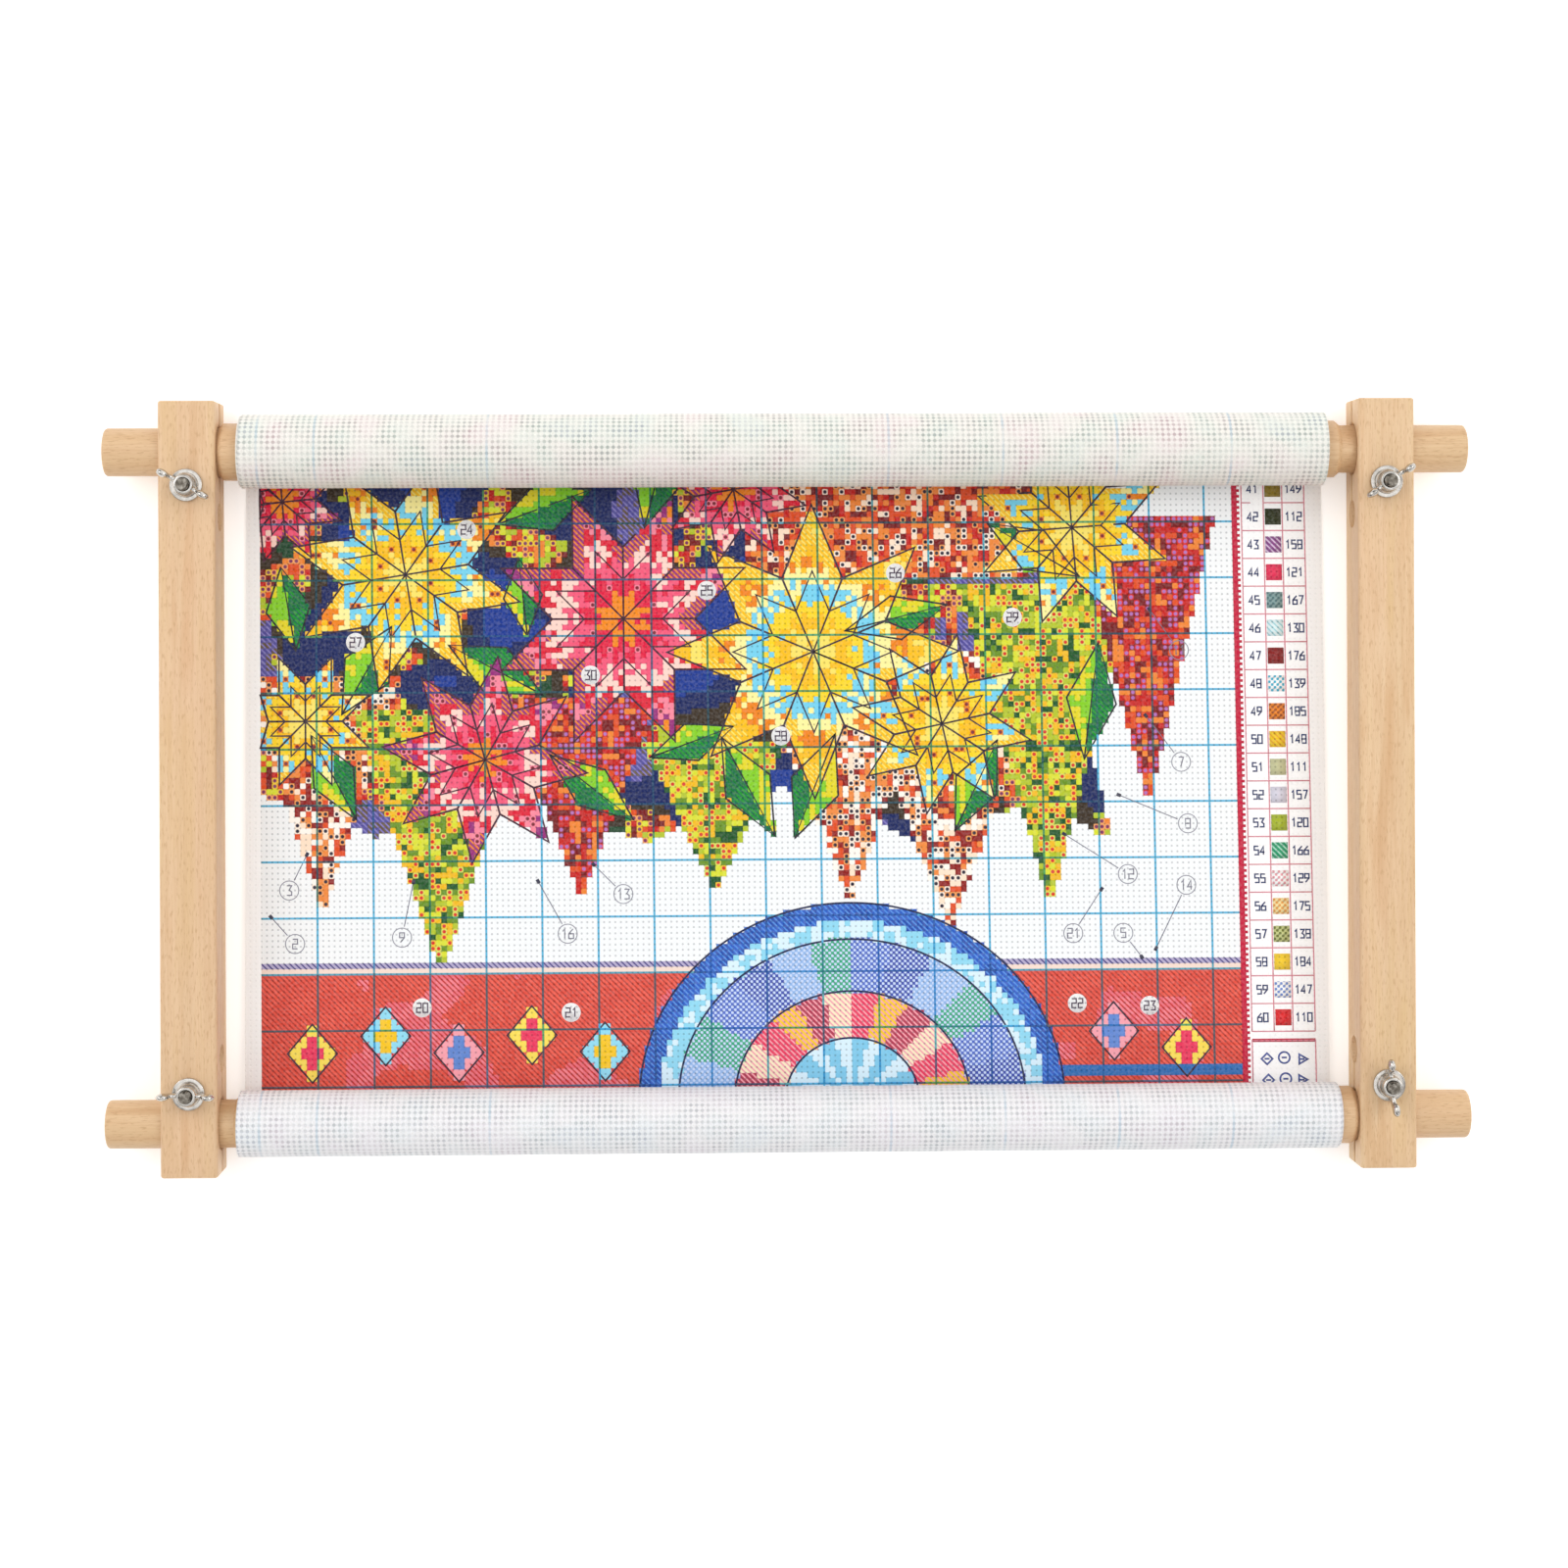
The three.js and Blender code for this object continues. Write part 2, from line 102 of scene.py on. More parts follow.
def coat(tree, shader, colour, height, strength, depth):  # puts a finish's colour and relief on its shader
    relief = addNode(tree, "Bump", Strength=strength, Distance=depth, Height=height)
    tree.links.new(colour, shader.inputs["Base Color"])
    tree.links.new(relief, shader.inputs["Normal"])


# Surfaces: grids of points worked out as whole arrays


def gridOfPoints(us, vs, shape):
    # Points at each pair of two parameters: shape takes both arrays and gives x, y and z.
    u, v = np.meshgrid(us, vs, indexing="ij")
    return np.stack(np.broadcast_arrays(*shape(u, v)), axis=-1)


def gridQuads(rows, columns, wrapRows=False, wrapColumns=False):
    # Corner numbers of the quads between neighbouring rows and columns, wrapped round where asked.
    i = np.arange(rows if wrapRows else rows - 1)[:, None]
    j = np.arange(columns if wrapColumns else columns - 1)[None, :]
    ni, nj = (i + 1) % rows, (j + 1) % columns
    quads = np.broadcast_arrays(i * columns + j, ni * columns + j, ni * columns + nj, i * columns + nj)
    return np.stack(quads, axis=-1).reshape(-1, 4)


def placed(name, data):  # a new object, unturned at the origin, for a mesh, a lamp or a camera
    made = bpy.data.objects.new(name, data)
    bpy.context.collection.objects.link(made)
    return made


def meshFrom(name, points, quads, caps=()):
    # A mesh from arrays of points and quads, with a few many-sided caps. Its faces point outwards.
    sizes = np.concatenate([np.full(len(quads), 4), [len(c) for c in caps]]).astype(np.int32)
    loops = np.concatenate([quads.ravel(), *caps]).astype(np.int32)
    mesh = bpy.data.meshes.new(name)
    mesh.vertices.add(len(points))
    mesh.vertices.foreach_set("co", np.asarray(points, np.float32).ravel())
    mesh.loops.add(len(loops))
    mesh.loops.foreach_set("vertex_index", loops)
    mesh.polygons.add(len(sizes))
    mesh.polygons.foreach_set("loop_start", np.concatenate([[0], np.cumsum(sizes)[:-1]]).astype(np.int32))
    mesh.polygons.foreach_set("use_smooth", np.ones(len(sizes), bool))
    mesh.update(calc_edges=True)
    mesh.validate()
    made = placed(name, mesh)
    work = bmesh.new()
    work.from_mesh(mesh)
    bmesh.ops.recalc_face_normals(work, faces=work.faces)
    work.to_mesh(mesh)
    work.free()
    return made


def surface(name, grid, closed=True, ring=False):
    # A surface from a grid of points. A closed one wraps its columns and caps its ends, a ring joins them.
    rows, columns = grid.shape[:2]
    loop = np.arange(columns)
    ends = [loop, (rows - 1) * columns + loop[::-1]] if closed and not ring else []
    return meshFrom(name, grid.reshape(-1, 3), gridQuads(rows, columns, ring, closed), ends)


def revolve(name, profile, axis, centre, steps, bend=None, ring=False):
    # A profile of (distance along, radius) pairs carried round an axis, at radius times cosine and sine.
    # Bend takes distance, radius and angle and gives the radius there, for what isn't round.
    along, radius = np.array(profile, float).T[:, :, None]
    angle = np.linspace(0, 2 * math.pi, steps, endpoint=False)[None, :]
    if bend:
        radius = bend(along, radius, angle)
    first, second = radius * np.cos(angle), radius * np.sin(angle)
    along = np.broadcast_to(along, first.shape)
    order = {"X": (along, first, second), "Z": (first, second, along)}[axis]
    return surface(name, np.stack(order, axis=-1) + np.array(centre), ring=ring)


def rod(diameter, reach, axis, centre, steps):  # a round cutter that reaches that far both ways
    return revolve("cutter", [(-reach, diameter / 2), (reach, diameter / 2)], axis, centre, steps)


def boxCutter(low, high):  # an upright box between two corners
    x, y, z = zip(low, high)
    rows = [[(x[0], y[0], h), (x[1], y[0], h), (x[1], y[1], h), (x[0], y[1], h)] for h in z]
    return surface("cutter", np.array(rows))


def arc(centre, radius, fromDegrees, toDegrees, steps):
    # Points of a circle's arc as (along, radius) pairs.
    angle = np.radians(np.linspace(fromDegrees, toDegrees, steps))
    return list(zip(centre[0] + radius * np.cos(angle), centre[1] + radius * np.sin(angle)))


def finished(made):  # the object's modifiers made real, so nothing live is left on it
    shown = made.evaluated_get(bpy.context.evaluated_depsgraph_get())
    mesh = bpy.data.meshes.new_from_object(shown)
    made.modifiers.clear()
    old, made.data = made.data, mesh
    name = old.name
    bpy.data.meshes.remove(old)
    made.data.name = name


def cut(made, *cutters, operation="DIFFERENCE"):  # takes each cutter from the piece, or joins it to it
    for cutter in cutters:
        tool = made.modifiers.new("cut", "BOOLEAN")
        tool.operation, tool.object, tool.solver = operation, cutter, "EXACT"
        finished(made)
        bpy.data.objects.remove(cutter)


def dress(made, material, body, slot, *nodes, sharpFrom=50):
    # Smooth shading but for edges sharper than the angle, then finish, body and replaced CAD nodes. The slot
    # is not used.
    made.data.polygons.foreach_set("use_smooth", np.ones(len(made.data.polygons), bool))
    made.data.set_sharp_from_angle(angle=math.radians(sharpFrom))
    made.data.materials.clear()
    made.data.materials.append(material)
    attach(made, body)
    if nodes:
        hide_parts(*nodes)


# Camera: fitted to the photo's edges, a little left of and above the middle, turned slightly to the right

camera = {
    "eye": (-32.4 * mm, 62.9 * mm),  # across and up from the frame's middle
    "distance": 1200 * mm,           # from the rails' front faces
    "yaw": 1.44,                     # degrees
    "roll": -0.24,
    "photoPixels": 1600,
    "focalPixels": 3161.7,
    "axisPixel": (800, 636.7),       # where the photo has the view's straight-ahead point
    "sensor": 36,
    "clip": (0.05, 20),
}


def makeCamera():  # shift moves the view so that the straight-ahead point falls on its pixel
    pixels = camera["photoPixels"]
    data = bpy.data.cameras.new("photo_camera")
    data.sensor_width = camera["sensor"]
    data.lens = camera["sensor"] * camera["focalPixels"] / pixels
    data.shift_x = (pixels / 2 - camera["axisPixel"][0]) / pixels
    data.shift_y = (camera["axisPixel"][1] - pixels / 2) / pixels
    data.clip_start, data.clip_end = camera["clip"]
    eye = placed("photo_camera", data)
    eye.matrix_world = Matrix.Translation((*camera["eye"], railFront + camera["distance"])) \
        @ Matrix.Rotation(math.radians(-camera["yaw"]), 4, "Y") \
        @ Matrix.Rotation(math.radians(camera["roll"]), 4, "Z")
    bpy.context.scene.camera = eye
    print("camera lens", round(data.lens, 1))


makeCamera()

# Studio: white paper as the floor, a soft panel on each side, and fill from all round with a dark ring about
# the camera's place. The paper is matt, so it spreads an even light and shows no gloss.

studio = {
    "floorHexes": ("#fafaf9", "#fbfbfa"),
    "floorGlow": 0.3,
    "floorDrop": 0.2 * mm,
    "floorHalf": 3,
    "panels": {  # place and watts
        "left_panel": ((-1.2, 0.6, 1.3), 6.5),
        "right_panel": ((1.25, 0.3, 1.25), 5.5),
    },
    "panelSize": 1.0,
    "fill": 1.57,
    "fillByHeight": ((0.0, 0.66), (0.35, 0.7), (0.6, 0.84), (0.78, 0.84),  # height and brightness
                     (0.84, 0.3), (0.935, 0.3), (0.965, 0.86)),
    "fillBySide": ((0.1, 0.7), (0.9, 1.0)),  # a little darker from the lower edge's side
    "cards": 3,                              # black cards round the floor put dark lines in the metal
    "cardTurn": 0.7,
    "cardWidth": ((0.35, 0.0), (0.45, 1.0)),
    "cardHeight": ((0.02, 0.0), (0.08, 0.95), (0.5, 0.95), (0.62, 0.0)),
    "cardBlack": (0.02, 0.02, 0.02, 1),
    "backdrop": (0.6, 0.6, 0.6, 1),          # the camera sees a plain grey behind the floor
}


def makeFloor():
    half = studio["floorHalf"]
    floor = surface("floor", gridOfPoints(np.linspace(-half, half, 5), np.linspace(-half, half, 5),
                                          lambda u, v: (u, v, u * 0 - studio["floorDrop"])), closed=False)
    made, tree, shader = newMaterial("matt_white_paper_floor", Roughness=0.9,
                                     Emission_Color=linear("#ffffff"), Emission_Strength=studio["floorGlow"])
    mottle = addNode(tree, "TexNoise", addNode(tree, "TexCoord", out="Object"), Scale=3, Detail=2)
    paper = addNode(tree, "ValToRGB", mottle, stops=list(zip((0, 1), studio["floorHexes"])))
    tree.links.new(paper, shader.inputs["Base Color"])
    floor.data.materials.append(made)


def makeLight():
    for name, (place, watts) in studio["panels"].items():
        data = bpy.data.lights.new(name, "AREA")
        data.shape, data.size, data.energy = "SQUARE", studio["panelSize"], watts
        lamp = placed(name, data)
        lamp.location = place
        lamp.rotation_euler = (-Vector(place)).to_track_quat("-Z", "Y").to_euler()
    world = bpy.data.worlds.new("fill")
    world.use_nodes = True
    tree = world.node_tree
    x, y, z = addNode(tree, "SeparateXYZ", addNode(tree, "TexCoord", out="Generated")).node.outputs
    aside = addNode(tree, "Math", y, 1.0, operation="ADD")
    even = addNode(tree, "Mix", 1.0, addNode(tree, "ValToRGB", z, stops=studio["fillByHeight"]),
                   addNode(tree, "ValToRGB", aside, stops=studio["fillBySide"]),
                   data_type="RGBA", blend_type="MULTIPLY")
    bearing = addNode(tree, "Math", y, x, operation="ARCTAN2")
    turned = addNode(tree, "Math", bearing, studio["cards"], studio["cardTurn"], operation="MULTIPLY_ADD")
    waves = addNode(tree, "Math", turned, operation="COSINE")
    cards = addNode(tree, "ValToRGB", waves, stops=studio["cardWidth"])
    tall = addNode(tree, "ValToRGB", z, stops=studio["cardHeight"])
    black = addNode(tree, "Math", cards, tall, operation="MULTIPLY")
    lit = addNode(tree, "Mix", black, even, studio["cardBlack"], data_type="RGBA")
    seen = addNode(tree, "LightPath", out="Is Camera Ray")
    sky = tree.nodes["Background"]
    tree.links.new(addNode(tree, "Mix", seen, lit, studio["backdrop"], data_type="RGBA"), sky.inputs[0])
    sky.inputs[1].default_value = studio["fill"]
    bpy.context.scene.world = world
    bpy.context.scene.view_settings.view_transform = "Standard"


makeFloor()
makeLight()
print("floor and lights placed")

# Beech: pale straw to pinkish wood, planed and sanded to a satin. The eye knows it by its short brown flecks.

beech = {
    "planed_beech_rail": {
        "along": 1,                # the grain's axis, X or Y
        "grounds": ("#dcbb89", "#e2c29a", "#d4ab7e"),
        "shades": ("#dfb592", "#ca9f71", "#ba8a5d"),  # warm clouds, dark streaks and flecks
        "fleckMm": 0.6,
        "fleckAmount": 0.42,
        "roughness": 0.5,
    },
    "turned_beech_roller": {
        "along": 0,
        "grounds": ("#d7b286", "#dcbb90", "#cea67a"),
        "shades": ("#d7af88", "#c49669", "#b28257"),
        "fleckMm": 0.55,
        "fleckAmount": 0.4,
        "roughness": 0.45,
    },
}
beechGrain = {
    "bandMm": 6,
    "streakMm": (0.7, 26),     # across and along the grain
    "cloudMm": (60, 160),
    "stretch": (14, 5.5),      # length over width of a band and of a fleck
    "relief": 0.12 * mm,
}


def beechWood(name):
    # Bands and fine streaks drawn out along the grain, with the short flecks that beech shows.
    look, bandMm, stretch = beech[name], beechGrain["bandMm"], beechGrain["stretch"]
    along, fleckMm, roughness = look["along"], look["fleckMm"], look["roughness"]
    made, tree, shader = newMaterial(name, Roughness=roughness, IOR=1.5)
    place = addNode(tree, "TexCoord", out="Object")

    def figure(acrossMm, alongMm, **more):  # noise in units of the figure's own width and length
        scale = [1000 / acrossMm] * 3
        scale[along] = 1000 / alongMm
        return addNode(tree, "TexNoise", addNode(tree, "Mapping", Vector=place, Scale=scale), Scale=1, **more)

    bands = figure(bandMm, bandMm * stretch[0], Detail=3, Roughness=0.55, Distortion=0.4)
    streaks = figure(*beechGrain["streakMm"], Detail=4, Roughness=0.6)
    flecks = figure(fleckMm, fleckMm * stretch[1], Detail=1.5)
    clouds = figure(*beechGrain["cloudMm"], Detail=1)
    colour = addNode(tree, "ValToRGB", bands, stops=list(zip((0.3, 0.52, 0.72), look["grounds"])))
    spot = addNode(tree, "ValToRGB", flecks, stops=((0.56, 0.0), (0.68, look["fleckAmount"])))
    warm = addNode(tree, "ValToRGB", clouds, stops=((0.35, 0.0), (0.7, 0.55)))
    dark = addNode(tree, "ValToRGB", streaks, stops=((0.42, 0.0), (0.72, 0.35)))
    for amount, shade in zip((warm, dark, spot), look["shades"]):
        colour = addNode(tree, "Mix", amount, colour, linear(shade), data_type="RGBA")
    raised = addNode(tree, "Math", streaks, 0.6, operation="MULTIPLY")
    height = addNode(tree, "Math", raised, spot, operation="SUBTRACT")
    coat(tree, shader, colour, height, 0.25, beechGrain["relief"])
    gloss = addNode(tree, "MapRange", streaks, 0.3, 0.7, roughness - 0.06, roughness + 0.1)
    tree.links.new(gloss, shader.inputs["Roughness"])
    return made


railBeech = beechWood("planed_beech_rail")
rollerBeech = beechWood("turned_beech_roller")

# Side rails: a rounded blank, cut by the roller hole, the relief hole, the saw kerf and the bolt's hole

railSizes = {
    "edgeRound": 1.5 * mm,
    "endBevel": 0.8 * mm,
    "reliefFromEnd": 44.7 * mm,
    "reliefDiameter": 11 * mm,
    "kerf": 2.2 * mm,
    "holeClearance": 0.25 * mm,
    "mouthRise": 0.9 * mm,
    "mouthDepth": 1.2 * mm,
    "boltHole": 5.6 * mm,
    "softEdge": 0.25 * mm,
    "softFrom": 35,            # degrees between two faces
    "overrun": 6 * mm,         # how far a cutter reaches past the wood
    "roundSteps": 9,
    "holeSteps": (96, 64, 40),  # round the roller hole, the relief hole and the bolt's hole
}
neckDiameter = 18.7 * mm  # of a roller, where it passes through a rail


def roundedLoop(halfWidth, halfDepth, radius, steps):
    # A rectangle's outline with its corners rounded, as one loop of (x, z) points.
    quarter = np.linspace(0, math.pi / 2, steps)
    loops = []
    for turn, (sx, sz) in enumerate(((1, 1), (-1, 1), (-1, -1), (1, -1))):
        angle = quarter + turn * math.pi / 2
        loops.append(np.stack([sx * (halfWidth - radius) + radius * np.cos(angle),
                               sz * (halfDepth - radius) + radius * np.sin(angle)], axis=-1))
    return np.concatenate(loops)


def railBlank(name, low, high):
    # The rounded outline carried along Y, drawn in a little over the bevel at each end.
    size, centre = high - low, (low + high) / 2
    bevel, edge, steps = railSizes["endBevel"], railSizes["edgeRound"], railSizes["roundSteps"]
    half, eased = size[1] / 2, bevel * 0.3
    stations = ((-half, bevel), (-half + eased, eased), (-half + bevel, 0),
                (half - bevel, 0), (half - eased, eased), (half, bevel))
    rows = []
    for y, inset in stations:
        loop = roundedLoop(size[0] / 2 - inset, size[2] / 2 - inset, edge - inset, steps)
        rows.append(np.stack([loop[:, 0], np.full(len(loop), y), loop[:, 1]], axis=-1) + centre)
    return surface(name, np.array(rows))


def sideRail(name, low, high, body, corner):
    # The blank less four cutters at each end. The roller hole's radius grows evenly towards its mouths.
    made = railBlank(name + "_wood", low, high)
    middle, half = (low + high) / 2, (high - low) / 2
    holeRadius = neckDiameter / 2 + railSizes["holeClearance"]
    rise, deep, reach = railSizes["mouthRise"], railSizes["mouthDepth"], railSizes["overrun"]
    holeSteps, reliefSteps, boltSteps = railSizes["holeSteps"]
    flared = holeRadius + rise * (deep + reach) / deep
    waisted = [(-half[0] - reach, flared), (-half[0] + deep, holeRadius),
               (half[0] - deep, holeRadius), (half[0] + reach, flared)]
    for row, side in sideOf.items():
        endY = middle[1] + side * half[1]
        reliefY = endY - side * railSizes["reliefFromEnd"]
        boltY = boxOf(f"{row}_{corner}_carriage_bolt")[2][1]
        ys = sorted((reliefY, endY + side * reach))
        cut(made, revolve("cutter", waisted, "X", (middle[0], axisY[row], axisZ), holeSteps),
            rod(railSizes["reliefDiameter"], half[0] + reach, "X", (middle[0], reliefY, axisZ), reliefSteps),
            rod(railSizes["boltHole"], half[2] + reach, "Z", (middle[0], boltY, axisZ), boltSteps),
            boxCutter((low[0] - reach, ys[0], axisZ - railSizes["kerf"] / 2),
                      (high[0] + reach, ys[1], axisZ + railSizes["kerf"] / 2)))
    edges = made.modifiers.new("edges", "BEVEL")
    edges.width, edges.segments, edges.limit_method = railSizes["softEdge"], 2, "ANGLE"
    edges.angle_limit, edges.harden_normals = math.radians(railSizes["softFrom"]), False
    finished(made)
    dress(made, railBeech, body, "rail_beech", name)


sideRail("left_side_rail", railLow, railHigh, "left_rail", "left")
sideRail("right_side_rail", rightLow, rightHigh, "right_rail", "right")
print("side rails made")

# Rollers: turned from one dowel, with a flat let into the barrel under the cloth for the header tape

rollerSizes = {
    "barrelDiameter": 22.4 * mm,
    "barrelLength": 437.2 * mm,
    "shortNeck": 44.6 * mm,
    "gripRound": 1.4 * mm,
    "shoulderBevel": 1.6 * mm,
    "shoulderEase": 0.1 * mm,
    "flatLength": 420.8 * mm,
    "flatDepth": 2.4 * mm,
    "steps": 120,
}


def roller(name, row):
    # Radius against length, turned round X. Over the tape's flat it is at most the flat's height by cosine.
    low, high, middle = boxOf(name)
    length = high[0] - low[0]
    grip, barrel = neckDiameter / 2, rollerSizes["barrelDiameter"] / 2
    soft, bevel, ease = rollerSizes["gripRound"], rollerSizes["shoulderBevel"], rollerSizes["shoulderEase"]
    start = rollerSizes["shortNeck"]
    end = start + rollerSizes["barrelLength"]
    flatFrom = (start + end - rollerSizes["flatLength"]) / 2
    flatTo = flatFrom + rollerSizes["flatLength"]

    def shoulder(x, inward):  # from the neck up over the bevel to the barrel
        return [(x - inward * 1.5 * ease, grip), (x, grip + ease), (x, barrel - bevel),
                (x + inward * bevel, barrel - ease), (x + inward * (bevel + 4 * ease), barrel)]

    profile = [(0, pole), (0, grip - soft)] + arc((soft, grip - soft), soft, 170, 90, 7) + shoulder(start, 1)
    profile += [(x, barrel) for x in (flatFrom - hair, flatFrom, flatTo, flatTo + hair)]
    profile += shoulder(end, -1)[::-1] + arc((length - soft, grip - soft), soft, 90, 10, 7)
    profile += [(length, grip - soft), (length, pole)]
    if row == "bottom":  # this one's short neck is at the right
        profile = [(length - x, radius) for x, radius in profile]
        flatFrom, flatTo = length - flatTo, length - flatFrom

    def withFlat(along, radius, angle):
        facing = np.cos(angle - math.pi / 2)
        cutBack = (barrel - rollerSizes["flatDepth"]) / np.maximum(facing, 0.3)
        inFlat = (along > flatFrom - hair / 2) & (along < flatTo + hair / 2) & (facing > 0.3)
        return np.where(inFlat, np.minimum(radius, cutBack), radius)

    made = revolve(name + "_wood", profile, "X", (low[0], *middle[1:]), rollerSizes["steps"], withFlat)
    dress(made, rollerBeech, name, "roller_beech", name, sharpFrom=40)


for row in ("top", "bottom"):
    roller(row + "_roller", row)
print("rollers made")

# Plated steel: the nuts and washers have a thin bright zinc plating, glossy with faint hand wear. The bolts'
# steel is darkened all over as painted shade for the dark hubs, and the tacks are blued to a near black.

plating = {  # worn, middle and bright hexes, roughness, and the size of a patch of wear in mm
    "bright_zinc_plated_steel": (("#a29e98", "#c7c3bd", "#e6e2dc"), 0.17, 3),
    # the bolts' hexes are darkened: painted shade where their ends sit in the nut hubs
    "darkened_bolt_steel_painted_hub_shade": (("#4b453d", "#7b756c", "#b8b2a8"), 0.24, 1.6),
    "blued_steel_tack": (("#34373d", "#484c54", "#60656e"), 0.35, 1.5),
}
platingGrainMm = 0.35


def platedMetal(name):
    hexes, roughness, wearMm = plating[name]
    made, tree, shader = newMaterial(name, Metallic=1.0, Roughness=roughness)
    place = addNode(tree, "TexCoord", out="Object")
    cloud = addNode(tree, "TexNoise", place, 1000 / wearMm, Detail=4, Roughness=0.6)
    grain = addNode(tree, "TexNoise", place, 1000 / platingGrainMm, Detail=2)
    worn = addNode(tree, "ValToRGB", cloud, stops=list(zip((0.3, 0.5, 0.75), hexes)))
    coat(tree, shader, worn, grain, 0.12, 0.04 * mm)
    gloss = addNode(tree, "MapRange", cloud, 0.3, 0.75, roughness - 0.07, roughness + 0.12)
    tree.links.new(gloss, shader.inputs["Roughness"])
    return made


platedSteel, boltSteelPaintedShade, bluedSteel = [platedMetal(name) for name in plating]

# Fastenings: carriage bolt from the back, washer and wing nut on the front

fastening = {
    "boltDiameter": 5 * mm,
    "boltPole": 0.3 * mm,
    "headHeight": 3.3 * mm,
    "headRim": 0.7 * mm,
    "crownDiameter": 5 * mm,
    "neckLength": 3.2 * mm,
    "endBevel": 0.6 * mm,
    "threadPitch": 0.8 * mm,
    "threadDepth": 0.42 * mm,
    "threadLength": 16 * mm,
    "threadLead": 0.3 * mm,
    "rimEase": 0.1 * mm,
    "washerHole": 5.6 * mm,
    "washerEdge": 0.22 * mm,
    "punched": (0.06 * mm, 0.08 * mm),  # the sheared edges of its hole and of its rim
    "nutTop": 7.6 * mm,
    "nutBase": 9.6 * mm,
    "nutHeight": 6.2 * mm,
    "nutPole": 0.5 * mm,
    "flangeHeight": 1.4 * mm,
    "flangeStep": 0.6 * mm,
    "flangeRim": 0.2 * mm,
    "wingRootIn": 1.4 * mm,
    "wingSag": (0.5 * mm, 0.6 * mm),
    "wingHeight": (2.25 * mm, -0.75 * mm, 0.3 * mm),  # half of it at the root, then by t and t squared
    "wingThickness": 1.9 * mm,
    "wingSwell": 0.25 * mm,
    "ear": 5.2 * mm,
    "earThickness": 3.0 * mm,
    "voxel": 0.19 * mm,
}
wingAngles = {"top_left": -29, "top_right": 34, "bottom_left": -1, "bottom_right": -84}  # degrees


def carriageBolt(corner, body):
    # Head and shank are turned round Z. The thread's radius is a triangle wave of height and angle.
    name = corner + "_carriage_bolt"
    low, high, middle = boxOf(name)
    head, crown = (high[0] - low[0]) / 2, fastening["crownDiameter"] / 2
    shank, top = fastening["boltDiameter"] / 2, high[2] - low[2]
    height, rim, bevel = fastening["headHeight"], fastening["headRim"], fastening["endBevel"]
    ease, centre = fastening["rimEase"], fastening["boltPole"]
    threadFrom = top - fastening["threadLength"]
    rise = np.linspace(0, math.pi / 2, 14)
    profile = [(0, centre)]
    profile += zip((height - rim) * (1 - np.cos(rise)), crown + (head - crown) * np.sin(rise))
    profile += [(height - ease, head), (height, head - ease), (height, shank + hair)]
    profile += [(z, shank) for z in (height + hair, threadFrom - fastening["threadLead"])]
    profile += [(z, shank) for z in np.arange(threadFrom, top - 2 * hair, fastening["threadPitch"] / 8)]
    profile += [(top, shank - bevel), (top, centre)]

    def threads(along, radius, angle):
        phase = (along / fastening["threadPitch"] - angle / (2 * math.pi)) % 1.0
        tooth = fastening["threadDepth"] * np.abs(2 * phase - 1)
        threaded = (along >= threadFrom) & (along < top - hair)
        lead = np.clip((top - along) / bevel, 0, 1) * bevel
        return np.where(threaded, np.minimum(shank - tooth, shank - bevel + lead), radius)

    made = revolve(name + "_steel", profile, "Z", (middle[0], middle[1], low[2]), 48, threads)
    square = np.array([shank, shank, 0])
    neckLow = np.array([middle[0], middle[1], low[2] + height - rim / 2])
    neckHigh = np.array([middle[0], middle[1], low[2] + height + fastening["neckLength"]])
    cut(made, boxCutter(neckLow - square, neckHigh + square), operation="UNION")
    dress(made, boltSteelPaintedShade, body, "zinc_plated_steel", name, sharpFrom=38)


def washer(corner):
    # A flat ring's section with punched edges, turned round Z.
    name = corner + "_washer"
    low, high, middle = boxOf(name)
    outer, inner, thick = (high[0] - low[0]) / 2, fastening["washerHole"] / 2, high[2] - low[2]
    edge, (holeEdge, rimEdge) = fastening["washerEdge"], fastening["punched"]
    section = [(holeEdge, inner), (0, inner + holeEdge), (0, outer - rimEdge), (rimEdge, outer)]
    section += arc((thick - edge, outer - edge), edge, 90, 0, 6)
    section += [(thick, inner + edge), (thick - fastening["rimEase"], inner)]
    made = revolve(name + "_steel", section, "Z", (middle[0], middle[1], low[2]), 72, ring=True)
    dress(made, platedSteel, name, "zinc_plated_steel", name)


